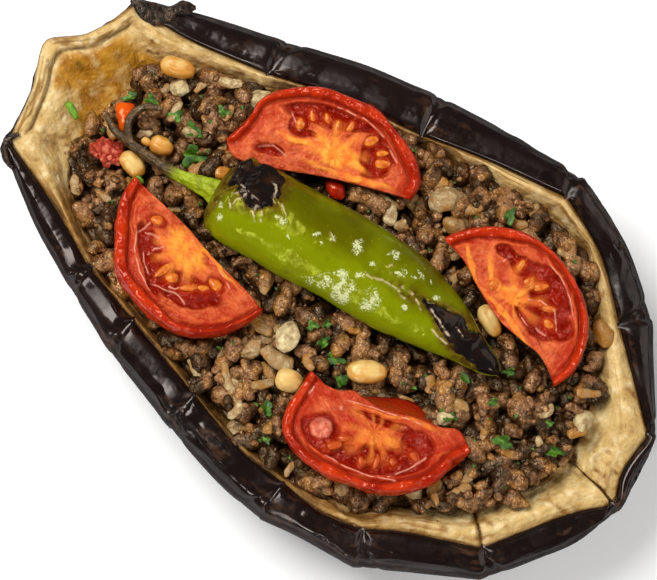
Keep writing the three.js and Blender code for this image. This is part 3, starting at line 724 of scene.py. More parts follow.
def boat_profile(outline, inset):
    """The outside of the boat moved in by an inset, as rings from the foot up to the crest. The underside is
    a quarter ellipse from the foot out to the belly, and the flank a squarer quarter from the belly in to
    the crest."""
    overhang = mix(outline.overhang, BARE_OVERHANG, outline.bare)
    belly = outline.ring(overhang - inset, BELLY_HEIGHT)
    foot = belly * FOOT_SHARE
    rings = [foot * [1, 1, 0] + [0, 0, inset]]
    for a in np.linspace(0.08, 1, 9) * np.pi / 2:
        place = mix(foot, belly, np.sin(a))
        place[:, 2] = mix(inset, BELLY_HEIGHT, 1 - np.cos(a))
        rings.append(place)
    crest = mix(overhang * CREST_SHARE, 0.5, outline.bare)
    top = outline.height + mix(CREST_RISE, -BARE_DROP, outline.bare) - inset
    for share in np.linspace(0, 1, 44)[1:]:
        a = share**0.85 * np.pi / 2
        outward, upward = np.cos(a) ** FLANK_POWER, np.sin(a) ** FLANK_POWER
        rings.append(outline.ring(mix(crest, overhang, outward) - inset, mix(BELLY_HEIGHT, top, upward)))
    return np.array(rings), crest


def around_noise(outline, rows, length, seed, octaves=3):
    """Noise that closes on itself round the boat and is stretched along it: the turn as a circle, the row as
    height."""
    radius = outline.length[-1] / TAU / length
    circle = np.column_stack([np.cos(outline.turn), np.sin(outline.turn)]) * radius
    shape = (len(rows), outline.count)
    across = np.broadcast_to(rows[:, None, None], (*shape, 1))
    grid = np.concatenate([np.broadcast_to(circle, (*shape, 2)), across], -1)
    return layered(grid, 1.0, octaves, seed)


def skin_rings(outline, thickness):
    """The skin's rings: the outside, the roll over the crest to the lip, and back down inside by its
    thickness."""
    outside, crest = boat_profile(outline, 0.0)
    rise = mix(CREST_RISE, -BARE_DROP, outline.bare)
    sunk = -BARE_DROP * outline.bare
    roll = [
        outline.ring(crest * (1 - np.sin(a)) - 0.6 * outline.bare,
                     outline.height + mix(sunk, rise, np.cos(a)))
        for a in np.linspace(0, np.pi / 2, 14)[1:]
    ]
    lip = [outline.ring(-0.25 - 0.6 * outline.bare, outline.height + sunk - 0.25)]
    lip.append(outline.ring(-0.1 - 0.6 * outline.bare, outline.height + sunk - 0.9))
    inside = boat_profile(outline, thickness)[0][::-5]
    rings = np.array([*outside, *roll, *lip])
    moved, worn = folded_skin(outline, rings)
    return np.array([*moved, *inside]), np.vstack([worn, np.zeros((len(inside), outline.count))])


def folded_skin(outline, rings):
    """Folds the skin at the lip's corners. Two creases run down and apart from each corner with a sunk, flat
    facet between them, and the panel beside them swells to a cushion at the lip. All fade out towards the
    belly. Between the folds lie broad dents and crumpled patches. Also gives how worn the skin is."""
    draw = np.random.default_rng(4)
    folds = [entry for entry in LIP if entry[1] != "soft" and entry[0] not in BARE_CORNERS]
    names = {entry[0] for entry in folds}
    side = np.array([1.0 if entry[1] == "after" else -1.0 for entry in folds])
    depth = draw.uniform(0.65, 1.25, len(folds))
    lean = draw.uniform(-3.0, 3.0, len(folds))
    spread = draw.uniform(2.5, 7.0, len(folds))
    level = np.linspace(0, 1, len(rings))
    upper = (0.2 + 0.8 * smoothstep(level, 0.25, 0.6)) * smoothstep(level, 0.03, 0.16)
    upper = upper * (1 - 0.5 * smoothstep(level, 0.88, 1.0))
    fold, near = np.empty(rings.shape[:2]), np.empty(rings.shape[:2])
    for row, t in enumerate(level):
        u = outline.way_from(names, lean * (0.85 - t)) * side
        v = u - spread * np.clip(0.95 - t, 0, 1)
        creases = 1.5 * np.exp(-np.abs(u) / 0.4) + 0.9 * np.exp(-np.abs(v) / 0.5)
        facet = 0.85 * smoothstep(u, -0.3, 0.5) * (1 - smoothstep(v, -0.2, 2.2))
        cushion = 0.5 * bell(u + 2.6, 2.6) + 0.25 * bell(v - 3.0, 2.8)
        fold[row] = ((cushion - creases - facet) * depth).sum(1)
        near[row] = np.exp(-np.abs(u) / 5).max(1)
    dents = around_noise(outline, level * 5, 15.0, 5, 2)
    crinkles = around_noise(outline, level * 16, 3.6, 3, 2)
    crumpled = smoothstep(around_noise(outline, level * 3, 22.0, 6, 2), 0.1, 0.6)
    crumple = 0.35 - np.abs(around_noise(outline, level * 9, 5.5, 8, 2))
    move = (fold + 0.35 * dents + 0.2 * crinkles * near) * upper[:, None] * (1 - 0.8 * outline.bare)
    move += 0.95 * crumpled * crumple * smoothstep(level, 0.25, 0.45)[:, None] * (1 - outline.bare)
    move += 0.35 * outline.bare * around_noise(outline, level * 4, 5.0, 13, 2)
    edge = 1 - smoothstep(level, 0.9, 0.985)[:, None] * 0.75
    moved = rings.copy()
    moved[..., :2] += outline.out[None] * (move * edge)[..., None]
    moved[..., 2] += 0.45 * (move * smoothstep(level, 0.55, 0.8)[:, None] * edge)
    worn = near * smoothstep(around_noise(outline, level * 22, 3.6, 9), -0.1, 0.6)
    worn = np.clip(worn + 0.8 * smoothstep(around_noise(outline, level * 7, 9.0, 15), 0.45, 0.8), 0, 1)
    return moved, worn


RIM_WIDTH = 3.6
SCAB = (76.2, -2.4)  # where the flesh has a brown scab beside the filling


def flesh_rings(outline, thickness):
    """The flesh's rings: its outside in the skin's wall, its top from the lip in to the filling, and the
    hollow. At the stem end a rounded, wavy rim stands above a crevice; elsewhere panels bulge softly between
    cracks."""
    outside = boat_profile(outline, thickness + 2.4)[0][:-6:4]
    bare, flesh = outline.bare, outline.flesh
    peak = bell(outline.way_from({"stem_peak"})[:, 0], 3.4)
    wave = bare * around_noise(outline, np.zeros(1), 11.0, 47, 2)[0]
    neck = [outline.ring(mix(-0.7, -1.2, bare), outline.height - 3.2)]
    neck.append(outline.ring(mix(-0.45, 0.3, bare) + 0.4 * wave, outline.height - 1.5))
    shares = np.linspace(0, 1, 60) ** 1.2
    crack = outline.way_from(CRACKED)
    crack = bell(crack, 0.42).max(1) + 0.45 * np.exp(-np.abs(crack) / 3.0).max(1)
    start, end = outline.ring(mix(-0.3, 0.0, bare) + 0.4 * wave + 0.5 * peak, 0), outline.hollow_ring(0, 0)
    end[:, :2] += outline.hollow_out * (0.8 * around_noise(outline, np.zeros(1), 6.0, 49, 3)[0][:, None])
    width = RIM_WIDTH * (1 + 0.12 * around_noise(outline, np.zeros(1), 11.0, 51, 2)[0]) + 0.8 * peak
    top = []
    for share in shares:
        ring = mix(start, end, share)
        inward = share * flesh
        bow = np.sin(np.pi * np.clip(inward / np.minimum(flesh, 10), 0, 1)) * np.clip(flesh / 8, 0.15, 1)
        panel = 1.5 * bow - 0.55 - outline.drop * smoothstep(share, 0.3, 1.0)
        panel = panel - 0.8 * crack * np.clip(flesh / 6, 0.2, 1)
        across = np.clip(inward / width, 0, 1)
        rim = 1.2 * np.sin(np.pi * np.clip(across * 0.8 + 0.1, 0, 1)) ** 0.8 - 0.5
        rim = rim - 1.5 * smoothstep(inward, width - 0.3, width + 0.2) + 0.5 * peak * (1 - across)
        slope = smoothstep(inward, width, flesh) * (outline.drop - 0.4)
        slope = slope + 0.4 * crack * smoothstep(inward, width, width + 3)
        rim = rim + 0.9 * smoothstep(inward, width + 0.5, width + 3.2) * (1 - share) - slope
        ring[:, 2] = outline.height + mix(panel, rim, bare)
        top.append(ring)
    top = np.array(top)
    fade = smoothstep(shares, 0.0, 0.06) * (1 - smoothstep(shares, 0.95, 1.0))
    fade = fade[:, None] * np.clip(flesh / 5, 0.4, 1)
    fur = np.sin((shares[:, None] * flesh / width) * 11 + 2.5 * around_noise(outline, shares * 3, 9.0, 53, 2))
    texture = 0.32 * layered(top, 7.0, 3, 21) + 0.12 * layered(top, 1.7, 3, 25)
    top[..., 2] += (texture + 0.14 * fur * bare * (shares[:, None] * flesh < width)) * fade
    edge_height = outline.height - outline.drop
    inner = np.array([outline.hollow_ring(0.6, edge_height - 3), outline.hollow_ring(2, 13.0)])
    floor = inner[-1:] * [0.8, 0.8, 0] + [0, 0, FLOOR_HEIGHT]
    rings = np.array([*outside, *neck, *top, *inner, *floor])
    return rings, flesh_marks(outline, rings, shares, len(outside) + len(neck), crack, width)


def flesh_marks(outline, rings, shares, first, crack, width):
    """Where the flesh is golden: inside the stem end, beside the skin, beside the filling and where it is
    thin. Where the charred mark darkens it: charred along its outer edge and in lines on the rim, darker in
    the cracks, in patches by the filling and at a scab, with painted shadow in the crevice behind the rim and
    in a pit at the stem end, and painted shade on the thin strip along the near side."""
    x, y = rings[..., 0], rings[..., 1]
    share = np.zeros((len(rings), 1))
    share[first:first + len(shares), 0] = shares
    share[first + len(shares):] = 1
    flesh, bare = outline.flesh, outline.bare
    inward, from_hollow = share * flesh, (1 - share) * flesh
    rough, fine = layered(rings, 9.0, 3, 31), layered(rings, 2.6, 3, 35)
    fibres = around_noise(outline, share[:, 0] * 9, 9.0, 61, 3)
    beside = 5 * smoothstep(share, 0.55, 0.95)
    stem = smoothstep(-x + 6 * rough + 3 * fine, 51, 62)
    stem = stem * smoothstep(y + 6 * rough + 0.35 * (x + 80) + beside, -8, 3)
    stem = stem * smoothstep(inward, width + 0.2, width + 2.5) * (1.4 + 0.5 * rough)
    stem = stem * (1 - smoothstep(y + 3 * fine, 15, 22))
    thin = 1 - smoothstep(flesh, 4.0, 8.0)
    near = smoothstep(-y, -6, 10)
    golden = thin * (0.1 + 0.75 * near + 0.7 * fibres) + 0.8 * np.exp(-inward / 0.7) * (1 - bare)
    golden = golden + 0.2 * thin * near + 0.6 * smoothstep(crack + 0.4 * fine, 0.15, 0.5) * (1 - bare)
    golden = golden + 0.9 * bell(from_hollow, 1.8) * smoothstep(fine + 0.5 * rough, -0.3, 0.5)
    golden = golden + 0.45 * smoothstep(fibres, 0.1, 0.7) + 0.35 * smoothstep(rough + 0.5 * fine, 0.2, 0.9)
    golden = golden + 0.55 * bare * (inward < width) * smoothstep(fibres, 0.0, 0.5)
    # Painted shadow: a dark line in the crevice behind the stem end's rim.
    crevice = bell(inward - width - 0.1, 0.24) * bare * np.clip(1.0 + 0.9 * fine, 0, 1)
    strings = around_noise(outline, share[:, 0] * 26, 12.0, 63, 2)
    edge = bell(inward, mix(0.5, 0.42, bare)) * (rings[..., 2] > 20)
    cracks = smoothstep(crack + 0.45 * fine + 0.3 * rough, 0.5, 0.85)
    cracks = cracks * smoothstep(inward, 0.2, 1.5) * (1 - bare)
    patches = smoothstep(share, 0.8, 1.0) * smoothstep(fine, 0.2, 0.6) * 0.7
    lines = bare * (inward < width) * (inward > 0.3) * smoothstep(strings, 0.34, 0.6) * 0.5
    # Painted shade on the thin strip of flesh along the near side.
    shade = 0.65 * thin * near * smoothstep(fine + fibres, -0.3, 0.8)
    # Painted shadow in a pit at the stem end.
    pit = 0.9 * np.exp(-(((x + 83.5) ** 2 + (y - 5.0) ** 2) / 1.2))
    scab = 0.9 * smoothstep(-np.hypot((x - SCAB[0]) / 4.5, (y - SCAB[1]) / 2.6) + 0.5 * fine, -0.9, -0.4)
    # Besides char, the charred mark carries the painted shadow and shade above.
    charred = 0.85 * crevice + 0.8 * edge + cracks + patches + lines + shade + pit + scab
    marks = {"golden": golden, "charred": charred, "amber": stem * (0.82 + 0.45 * fine)}
    return clipped(marks)


def clipped(marks):
    return {key: np.clip(grid, 0, 1) for key, grid in marks.items()}


def poled(marks):
    """Marks of closed rings, with a value for the pole at each end."""
    ends = {key: ([grid[0].mean()], [grid[-1].mean()]) for key, grid in marks.items()}
    return {key: np.concatenate([ends[key][0], grid.ravel(), ends[key][1]]) for key, grid in marks.items()}


def skin_material(boat):
    """Glossy where it faces you and dull where it turns away, as oily skin with a fine crinkle is."""
    material, tree, shader = new_material("Roast skin", 0.26, (1.0, 0.88, 0.82))
    broad = blotches(tree, 0.03, 0.3, 0.75, 3.0, 0.9)
    dark = blended(tree, broad, opaque(boat.skin), opaque([c * 2.4 for c in boat.skin]))
    scuffs = times(tree, mark(tree, "worn"), blotches(tree, 0.0025, 0.42, 0.62, 4.0, 0.3))
    colour = blended(tree, scuffs, dark, opaque(boat.scuff))
    turned = wire(tree, "ShaderNodeLayerWeight", {"Blend": 0.5}, 1)
    dull = ranged(tree, turned, 0.3, 0.75, 0.0, 0.75)
    roughness = calculated(tree, "ADD", oiled(tree, 0.006, 0.28, 0.11, 0.5), dull, 0.0, True)
    normal = bumped(tree, blotches(tree, 0.009, 0.2, 0.8, 3.0, 0.1), 0.00016)
    finish_material(tree, shader, colour, roughness, normal)
    return material


def flesh_material(boat):
    """Roast flesh: cream with milky and tan mottling, golden by one mark and darkened by the charred mark,
    which holds both char and painted shade, stained, fibrous and moist."""
    material, tree, shader = new_material("Roast flesh", 0.32, (1.0, 0.82, 0.55))
    mottle = blotches(tree, 0.0035, 0.3, 0.7, 5.0, 0.5)
    pale = blended(tree, mottle, opaque(boat.flesh), scaled(boat.flesh, 0.8, 0.72, 0.55))
    milky = blotches(tree, 0.0024, 0.5, 0.7, 4.0, 0.2)
    pale = stained(tree, pale, milky, 0.7, (0.80, 0.64, 0.36))
    gold = blotches(tree, 0.003, 0.35, 0.65, 4.0, 0.35)
    gold = blended(tree, gold, opaque(boat.browned), scaled(boat.browned, 1.3, 1.4, 1.7))
    colour = blended(tree, mark(tree, "golden"), pale, gold)
    amber = blotches(tree, 0.005, 0.35, 0.65, 4.0, 0.6)
    amber = blended(tree, amber, (0.27, 0.10, 0.006, 1), (0.47, 0.22, 0.020, 1))
    colour = blended(tree, mark(tree, "amber"), colour, amber)
    stains = blotches(tree, 0.0045, 0.58, 0.72, 4.0, 0.7)
    colour = stained(tree, colour, stains, 0.6, (0.33, 0.155, 0.03))
    specks = blotches(tree, 0.0013, 0.69, 0.76, 3.0, 0.9)
    colour = stained(tree, colour, specks, 0.7, (0.12, 0.05, 0.012))
    # Darkens by char and by the painted shadow and shade that the charred mark carries.
    burn_and_shade = times(tree, mark(tree, "charred"), blotches(tree, 0.0012, 0.15, 0.45, 3.0, 0.4))
    colour = blended(tree, burn_and_shade, colour, (0.06, 0.024, 0.005, 1))
    normal = bumped(tree, blotches(tree, 0.0011, 0.2, 0.8, 4.0, 0.2), 0.00016)
    normal = bumped(tree, mottle, 0.0003, 0.8, normal)
    wet = ranged(tree, mark(tree, "amber"), 0.2, 0.8, 1.0, 0.55)
    roughness = times(tree, wet, oiled(tree, 0.004, 0.46, 0.22, 0.48))
    finish_material(tree, shader, colour, roughness, normal)
    return material


# Dried strips of skin at the stem end: x, y, z, half width and half height along each strip's middle line.
SKIN_STRIPS = {
    "skin_flap": [(-82.9, 26.0, 41.4, 0.5, 0.6), (-80.1, 26.2, 41.6, 1.7, 0.8), (-77.4, 26.6, 41.0, 2.7, 0.8),
                  (-74.8, 27.8, 40.4, 2.7, 0.7), (-73.2, 29.4, 40.4, 2.0, 0.7), (-72.2, 31.2, 40.6, 1.5, 0.8),
                  (-70.8, 32.9, 40.6, 2.2, 0.7), (-68.8, 34.8, 40.2, 0.5, 0.4)],
    "skin_hook": [(-80.6, -25.9, 38.0, 0.5, 0.8), (-82.6, -25.4, 38.8, 0.9, 1.0),
                  (-84.6, -24.0, 39.2, 1.0, 1.0), (-85.7, -22.0, 39.4, 0.95, 0.9),
                  (-85.5, -20.0, 40.0, 0.8, 0.7), (-84.4, -18.2, 40.4, 0.4, 0.4)],
}


def skin_strip(rows, seed):
    """A dried strip: a flat tube along its middle line, crumpled by layered noise and by sharp folded
    noise."""
    rings, _ = tube_rings(open_run(rows, 16), 44)
    crumple = 0.25 * layered(rings, 2.4, 3, seed) - 0.6 * np.abs(rolling(rings, 4.2, seed + 7)) + 0.2
    return closed_tube(rings + outwards(rings) * crumple[..., None] * [1, 1, 0.8])


def dried_material(boat):
    material, tree, shader = new_material("Dried skin", 0.4, (1.0, 0.8, 0.6))
    brown = blotches(tree, 0.0035, 0.5, 0.74, 4.0, 0.65)
    brown = blended(tree, brown, opaque(boat.scuff), (0.10, 0.04, 0.008, 1))
    colour = blended(tree, blotches(tree, 0.0022, 0.5, 0.7, 4.0, 0.15), opaque(boat.skin), brown)
    normal = bumped(tree, blotches(tree, 0.0012, 0.3, 0.7, 3.0, 0.9), 0.0002)
    finish_material(tree, shader, colour, oiled(tree, 0.002, 0.42, 0.18, 0.5), normal)
    return material


class EGGPLANT_OT_boat(bpy.types.Operator):
    """Makes the eggplant itself: its folded skin, two dried strips of it, and the flesh inside it"""

    bl_idname = "eggplant.boat"
    bl_label = "Eggplant boat"

    def execute(self, context):
        boat = context.scene.boat
        outline = Outline()
        thickness = boat.skin_thickness / MM
        rings, worn = skin_rings(outline, thickness)
        points, faces = capped_rings([0, 0, 0], rings, [0, 0, thickness])
        skin, slot, marks = skin_material(boat), "eggplant_skin", poled({"worn": worn})
        add_piece("eggplant_skin", points, faces, skin, slot, ["eggplant_shell"], marks)
        rings, marks = flesh_rings(outline, thickness)
        points, faces = capped_rings([0, 0, thickness * 1.5], rings, [0, 0, FLOOR_HEIGHT])
        add_piece("eggplant_flesh", points, faces, flesh_material(boat), "eggplant_flesh", (), poled(marks))
        dried = dried_material(boat)
        for seed, (name, rows) in enumerate(SKIN_STRIPS.items()):
            points, faces = skin_strip(rows, 57 + seed)
            add_piece(name, points, faces, dried, slot)
        return {"FINISHED"}


# ---------------------------------------------------------------- the mince
def heap_height(x, y):
    """The heap's even height: a crown that falls with the square of the way to the stem end and to the
    sides."""
    return HEAP_CROWN - HEAP_FALL_STEM * np.minimum(0, x) ** 2 - HEAP_FALL_SIDE * y**2


def heap_rings(outline, lower):
    """The mince's core: the hollow's edge drawn in to the middle, risen to the heap's height less a bit."""
    edge = outline.hollow_ring(0.5, 0)[::2]
    edge[:, 2] = outline.hollow[::2, 2] - 1.5
    below = outline.hollow_ring(2.5, 14.0)[::2] * [0.85, 0.85, 1]
    rings = [below, outline.hollow_ring(1.0, 20.0)[::2], edge]
    for inward in np.linspace(0, 0.97, 72)[1:]:
        ring = edge * (1 - inward)
        rise = smoothstep(inward, 0, 0.14)
        ring[:, 2] = mix(edge[:, 2], heap_height(ring[:, 0], ring[:, 1]) - lower, rise)
        rings.append(ring)
    rings = np.array(rings)
    top = rings[3:]
    top[..., 2] += 0.9 * layered(top, 5.0, 3, 41) + 1.1 * pebbled(top, 2.2, 43)[0]
    return rings


def mince_material(mince):
    """Cooked mince: a tone for each lump, rusty patches, grains with painted shade in their seams, pale
    specks of fat that are also painted glints, painted shade in small pits, moist and dry places."""
    material, tree, shader = new_material(
        "Minced meat", 0.58, (1.0, 0.74, 0.46), **soft_glow((1, 0.5, 0.25)))
    broad = blotches(tree, 0.0024, 0.3, 0.7, 3.0, 0.5)
    grains = granules(tree, 0.00105)
    areas = ranged(tree, blotches(tree, 0.010, 0.35, 0.65, 2.0, 0.15), 0.0, 1.0, -0.74, 0.02)
    tone = calculated(tree, "MULTIPLY_ADD", broad, 0.46, calculated(tree, "ADD", mark(tree, "tone"), areas))
    # Painted shade in the seams between grains.
    seams = ranged(tree, grains, 0.3, 0.8, 0.6, 1.08)
    tone = times(tree, tone, seams, True)
    stops = [(0.0, mince.dark), (1.0, mince.pale), (0.33, mince.brown), (0.66, mince.tan)]
    shade = toned(tree, tone, stops)
    lit = ranged(tree, tone, 0.15, 0.6, 0.1, 1.0)
    golden = times(tree, blotches(tree, 0.0036, 0.48, 0.62, 3.0, 0.9), 0.75)
    shade = stained(tree, shade, golden, lit, (0.27, 0.110, 0.012))
    rosy = times(tree, blotches(tree, 0.0048, 0.44, 0.58, 2.0, 0.45), 0.75)
    shade = stained(tree, shade, rosy, lit, (0.25, 0.118, 0.056))
    # Pale specks of fat that are also painted glints.
    fat_and_glints = times(tree, blotches(tree, 0.00042, 0.54, 0.66, 2.0, 0.3), 0.75)
    shade = stained(tree, shade, fat_and_glints, lit, (0.60, 0.34, 0.14))
    # Painted shade in small pits.
    pit_shade = times(tree, blotches(tree, 0.0008, 0.58, 0.68, 2.0, 0.6), 0.65)
    shade = blended(tree, pit_shade, shade, opaque(mince.dark))
    normal = bumped(tree, grains, 0.0002, 1.0)
    normal = bumped(tree, blotches(tree, 0.0006, 0.2, 0.8, 2.0, 0.1), 0.00013, 1.0, normal)
    finish_material(tree, shader, shade, oiled(tree, 0.0018, 0.32, 0.1, 0.5), normal)
    return material


class Toppings:
    """The undersides of what lies on the mince, as the frame has it, for keeping the mince below them."""

    def __init__(self):
        names = [n for n in frame["nodes"] if n.startswith(("tomato", "green", "pine", "red"))]
        points, triangles = [], []
        for name in sorted(names):
            mesh = frame["nodes"][name].data
            mesh.calc_loop_triangles()
            base = len(points)
            points.extend(np.array(v.co) / MM for v in mesh.vertices)
            triangles.extend([base + i for i in t.vertices] for t in mesh.loop_triangles)
        self.tree = BVHTree.FromPolygons(points, triangles)

    def underside(self, x, y):
        """Height of the lowest topping surface straight above the plane at 10 mm, or None."""
        hit = self.tree.ray_cast(Vector((x, y, 10)), Vector((0, 0, 1)))[0]
        return hit.z if hit else None

    def room(self, x, y, reach):
        """The lowest underside over a place and a ring of eight places round it, and how many of the nine
        are covered."""
        ring = [(x + reach * np.cos(a), y + reach * np.sin(a)) for a in np.arange(8) / 8 * TAU]
        roofs = [z for z in (self.underside(*p) for p in [(x, y), *ring]) if z is not None]
        return min(roofs, default=99.0), len(roofs)


def scattered(outline, spacing, inward, draw):
    """Places inside the hollow on a hexagonal grid, each moved by up to a third of the spacing."""
    x, y = np.meshgrid(np.arange(-85, 85, spacing), np.arange(-50, 50, spacing * 0.866))
    x[1::2] += spacing / 2
    jitter = draw.uniform(-0.36, 0.36, (2, *x.shape)) * spacing
    x, y = (x + jitter[0]).ravel(), (y + jitter[1]).ravel()
    inside = outline.inside(x, y, inward)
    return x[inside], y[inside]


def strands(rows, heading, bend, pitch, mesh=(20, 18), lumpy=(0.35, 0.6, 2.2), blunt=0.42):
    """Bent rounded strands, all at once. Rows hold x, y, z, half length, half width and half height. The
    middle line's heading turns evenly by the bend; across it lies an ellipse whose size falls off as (1 -
    s^2)^blunt to both ends. The surface is moved outwards by layered noise and by nodules: their two
    heights, and the nodules' size, are lumpy. Gives points by strand, each point's random nodule number, and
    one strand's quads and triangles."""
    along, around = mesh
    middle, half_length, wide, high = rows[:, :3], rows[:, 3], rows[:, 4], rows[:, 5]
    count = len(rows)
    s = -np.cos(np.pi * (np.arange(along) + 0.6) / (along + 0.2))
    angle = heading[:, None] + bend[:, None] * s
    step = np.stack([np.cos(angle), np.sin(angle), np.broadcast_to(np.tan(pitch)[:, None], angle.shape)], -1)
    line = np.cumsum(step * np.gradient(s)[None, :, None], 1) * half_length[:, None, None]
    line = line - line[:, along // 2: along // 2 + 1] + middle[:, None]
    size = (1 - s**2) ** blunt * (1 + 0.25 * rolling(line, 2.6, 5))
    side = np.stack([-np.sin(angle), np.cos(angle), np.zeros_like(angle)], -1)[:, :, None]
    turn = (np.arange(around) / around * TAU)[None, None, :, None]
    lift = np.array([0, 0, 1.0])
    out = np.cos(turn) * side + np.sin(turn) * lift
    across = np.cos(turn) * side * wide[:, None, None, None] + np.sin(turn) * lift * high[:, None, None, None]
    body = line[:, :, None] + size[:, :, None, None] * across
    ends = np.sign(s) * smoothstep(np.abs(s), 0.7, 1.0)
    out = out * (1 - np.abs(ends))[None, :, None, None] + step[:, :, None] * ends[None, :, None, None]
    out = unit(out)
    nodules, numbers = pebbled(body, lumpy[2], 51)
    move = lumpy[0] * layered(body, 2.8, 3, 53) + lumpy[1] * (nodules - 0.6)
    body = body + out * move[..., None]
    poles = body[:, [0, -1]].mean(2)
    points = np.concatenate([poles[:, :1], body.reshape(count, -1, 3), poles[:, 1:]], 1)
    middling = np.full((count, 1), 0.5)
    numbers = np.concatenate([middling, numbers.reshape(count, -1), middling], 1)
    ring = np.arange(around)
    last = 1 + (along - 1) * around
    after = (ring + 1) % around
    bottom = np.stack([0 * ring, 1 + after, 1 + ring], -1)
    top = np.stack([last + ring, last + after, 0 * ring + last + around], -1)
    return points, numbers, ring_faces(along, around, 1), np.vstack([bottom, top])


def strand_faces(points, quads, triangles):
    return joined(points, quads)[1].tolist() + joined(points, triangles)[1].tolist()


def strand_piece(name, made, material, slot, tones):
    """Adds strands as one piece. A point's tone is its strand's, varied by nodule and darker deep in the heap
    as painted shade. The mince is palest between the wedges at the far side, and duller towards the near
    blossom end."""
    points, numbers, quads, triangles = made
    faces = strand_faces(points, quads, triangles)
    above = points[..., 2] - heap_height(points[..., 0], points[..., 1])
    # Painted shade: the tone falls deep in the heap.
    tone = tones[:, None] + 0.3 * (numbers - 0.5) - 0.86 * (1 - smoothstep(above, -2.6, 1.6))
    x, y = points[..., 0], points[..., 1]
    tone = tone + 0.5 * np.exp(-((x - 6) ** 2 + (y - 27) ** 2) / 200) - 0.16 * smoothstep(x - y, 20, 55)
    marks = {"tone": np.clip(tone, 0, 1).ravel()}
    return add_piece(name, points.reshape(-1, 3), faces, material, slot, (), marks)


def mince_layer(outline, toppings, spacing, rise, size, keep, draw):
    """Places and half sizes of one layer of lumps: each sits at the heap's height plus a rise, or lower
    where a topping lies over it. A lump is left out where toppings cover all nine places round it, in the
    top layer already from five, beside the scab, and at random for the share that isn't kept."""
    x, y = scattered(outline, spacing, 0.4, draw)
    rows = []
    for cx, cy in zip(x, y):
        wide = draw.uniform(*size)
        long = wide * draw.uniform(1.0, 2.1)
        roof, covered = toppings.room(cx, cy, 0.8 * long)
        beside_scab = np.hypot(cx - SCAB[0], cy - SCAB[1]) < (4.5 if rise < 0 else 7.5)
        if covered == 9 or (covered > 4 and rise > 0) or beside_scab or draw.random() > keep:
            continue
        z = min(heap_height(cx, cy) + rise + draw.uniform(-0.8, 0.8), roof - 0.8 * wide)
        rows.append((cx, cy, z, long, wide, wide * draw.uniform(0.8, 1.0)))
    return np.array(rows)


class EGGPLANT_OT_mince(bpy.types.Operator):
    """Makes the filling: a core painted near black as shade between the lumps, lumps of mince in three
    layers, and loose crumbs
    """

    bl_idname = "eggplant.mince"
    bl_label = "Minced meat"

    def execute(self, context):
        mince = context.scene.mince
        outline = Outline()
        toppings = Toppings()
        draw = np.random.default_rng(20)
        material = mince_material(mince)
        core = heap_rings(outline, 4.0)
        points, faces = capped_rings([0, 0, FLOOR_HEIGHT + 1], core, [0, 0, core[-1, :, 2].mean()])
        # Painted shade: the core shows only in the gaps between lumps and is painted near black.
        marks = {"tone": np.full(len(points), 0.02)}
        add_piece("mince_core", points, faces, material, "minced_meat", ["meat_filling"], marks)
        spacing = mince.spacing / MM
        layers = {
            "low": (spacing, -2.2, (1.8, 2.9), 1.0, (16, 13)),
            "upper": (spacing * 1.22, 0.0, (1.5, 2.8), 0.82, (20, 17)),
            "top": (spacing * 1.5, 1.5, (1.1, 2.5), 0.85, (24, 20)),
        }
        solid = []
        for name, (step, rise, size, keep, mesh) in layers.items():
            rows = mince_layer(outline, toppings, step, rise, size, keep, draw)
            count = len(rows)
            heading, bend = draw.uniform(0, TAU, count), draw.uniform(-1.3, 1.3, count)
            made = strands(rows, heading, bend, draw.uniform(-0.35, 0.35, count), mesh)
            # Painted shade: the low layer's lumps are given darker tones.
            tones = np.clip(draw.normal(0.24 if name == "low" else 0.75, 0.36, count), 0.05, 1.2)
            solid.append(strand_piece(f"mince_{name}", made, material, "minced_meat", tones))
        self.crumbs(outline, toppings, mince, material, solid, draw)
        return {"FINISHED"}

    def crumbs(self, outline, toppings, mince, material, solid, draw):
        """Small grains of mince dropped from above onto the lumps, sunk almost by half where they land.
        Those that would miss every lump are left out."""
        ground = Ground(solid)
        x, y = scattered(outline, 2.9, 0.5, draw)
        chosen = draw.permutation(len(x))[: mince.crumbs]
        directions, triangles = ball(2)
        shapes = []
        for cx, cy in zip(x[chosen], y[chosen]):
            if toppings.underside(cx, cy) is None:
                radius = draw.uniform(0.5, 1.25)
                turn = yawed(draw.uniform(0, 360))
                floor = ground.height(cx, cy, None)
                if floor is None:
                    continue
                centre = np.array([cx, cy, floor + 0.1 * radius])
                bumps = 1 + 0.28 * layered(directions * radius + centre, 1.1, 2, 91)
                stretch = np.array([1.25, 0.95, 0.8]) * radius
                shapes.append((directions * bumps[:, None] * stretch) @ turn.T + centre)
        shapes = np.array(shapes)
        above = shapes[..., 2] - heap_height(shapes[..., 0], shapes[..., 1])
        # Painted shade: crumbs are darker deeper in the heap.
        tone = draw.normal(0.7, 0.2, len(shapes))[:, None] - 0.62 * (1 - smoothstep(above, -3.4, 0.4))
        marks = {"tone": np.clip(tone, 0, 1).ravel()}
        add_piece("mince_crumbs", *joined(shapes, triangles), material, "minced_meat", (), marks)


class Ground:
    """The tops of finished pieces, for laying small things on them. Works in millimetres."""

    def __init__(self, pieces):
        points, faces = [], []
        for piece in pieces:
            base = len(points)
            count = len(piece.data.vertices)
            flat = np.empty(count * 3, np.float32)
            piece.data.vertices.foreach_get("co", flat)
            points.extend((flat.reshape(-1, 3) / MM).tolist())
            faces.extend([base + i for i in p.vertices] for p in piece.data.polygons)
        self.tree = BVHTree.FromPolygons(points, faces)

    def height(self, x, y, missing=33.0):
        hit = self.tree.ray_cast(Vector((x, y, 90)), Vector((0, 0, -1)))[0]
        return hit.z if hit else missing


# ---------------------------------------------------------------- tomatoes
WEDGE_AROUND = 300
WEDGE_RINGS = 84
WEDGE_SIDE = 22
WEDGE_POLE = (0.0, 8.0)
HALO = 0.75  # how far the raised wet pulp reaches round a seed


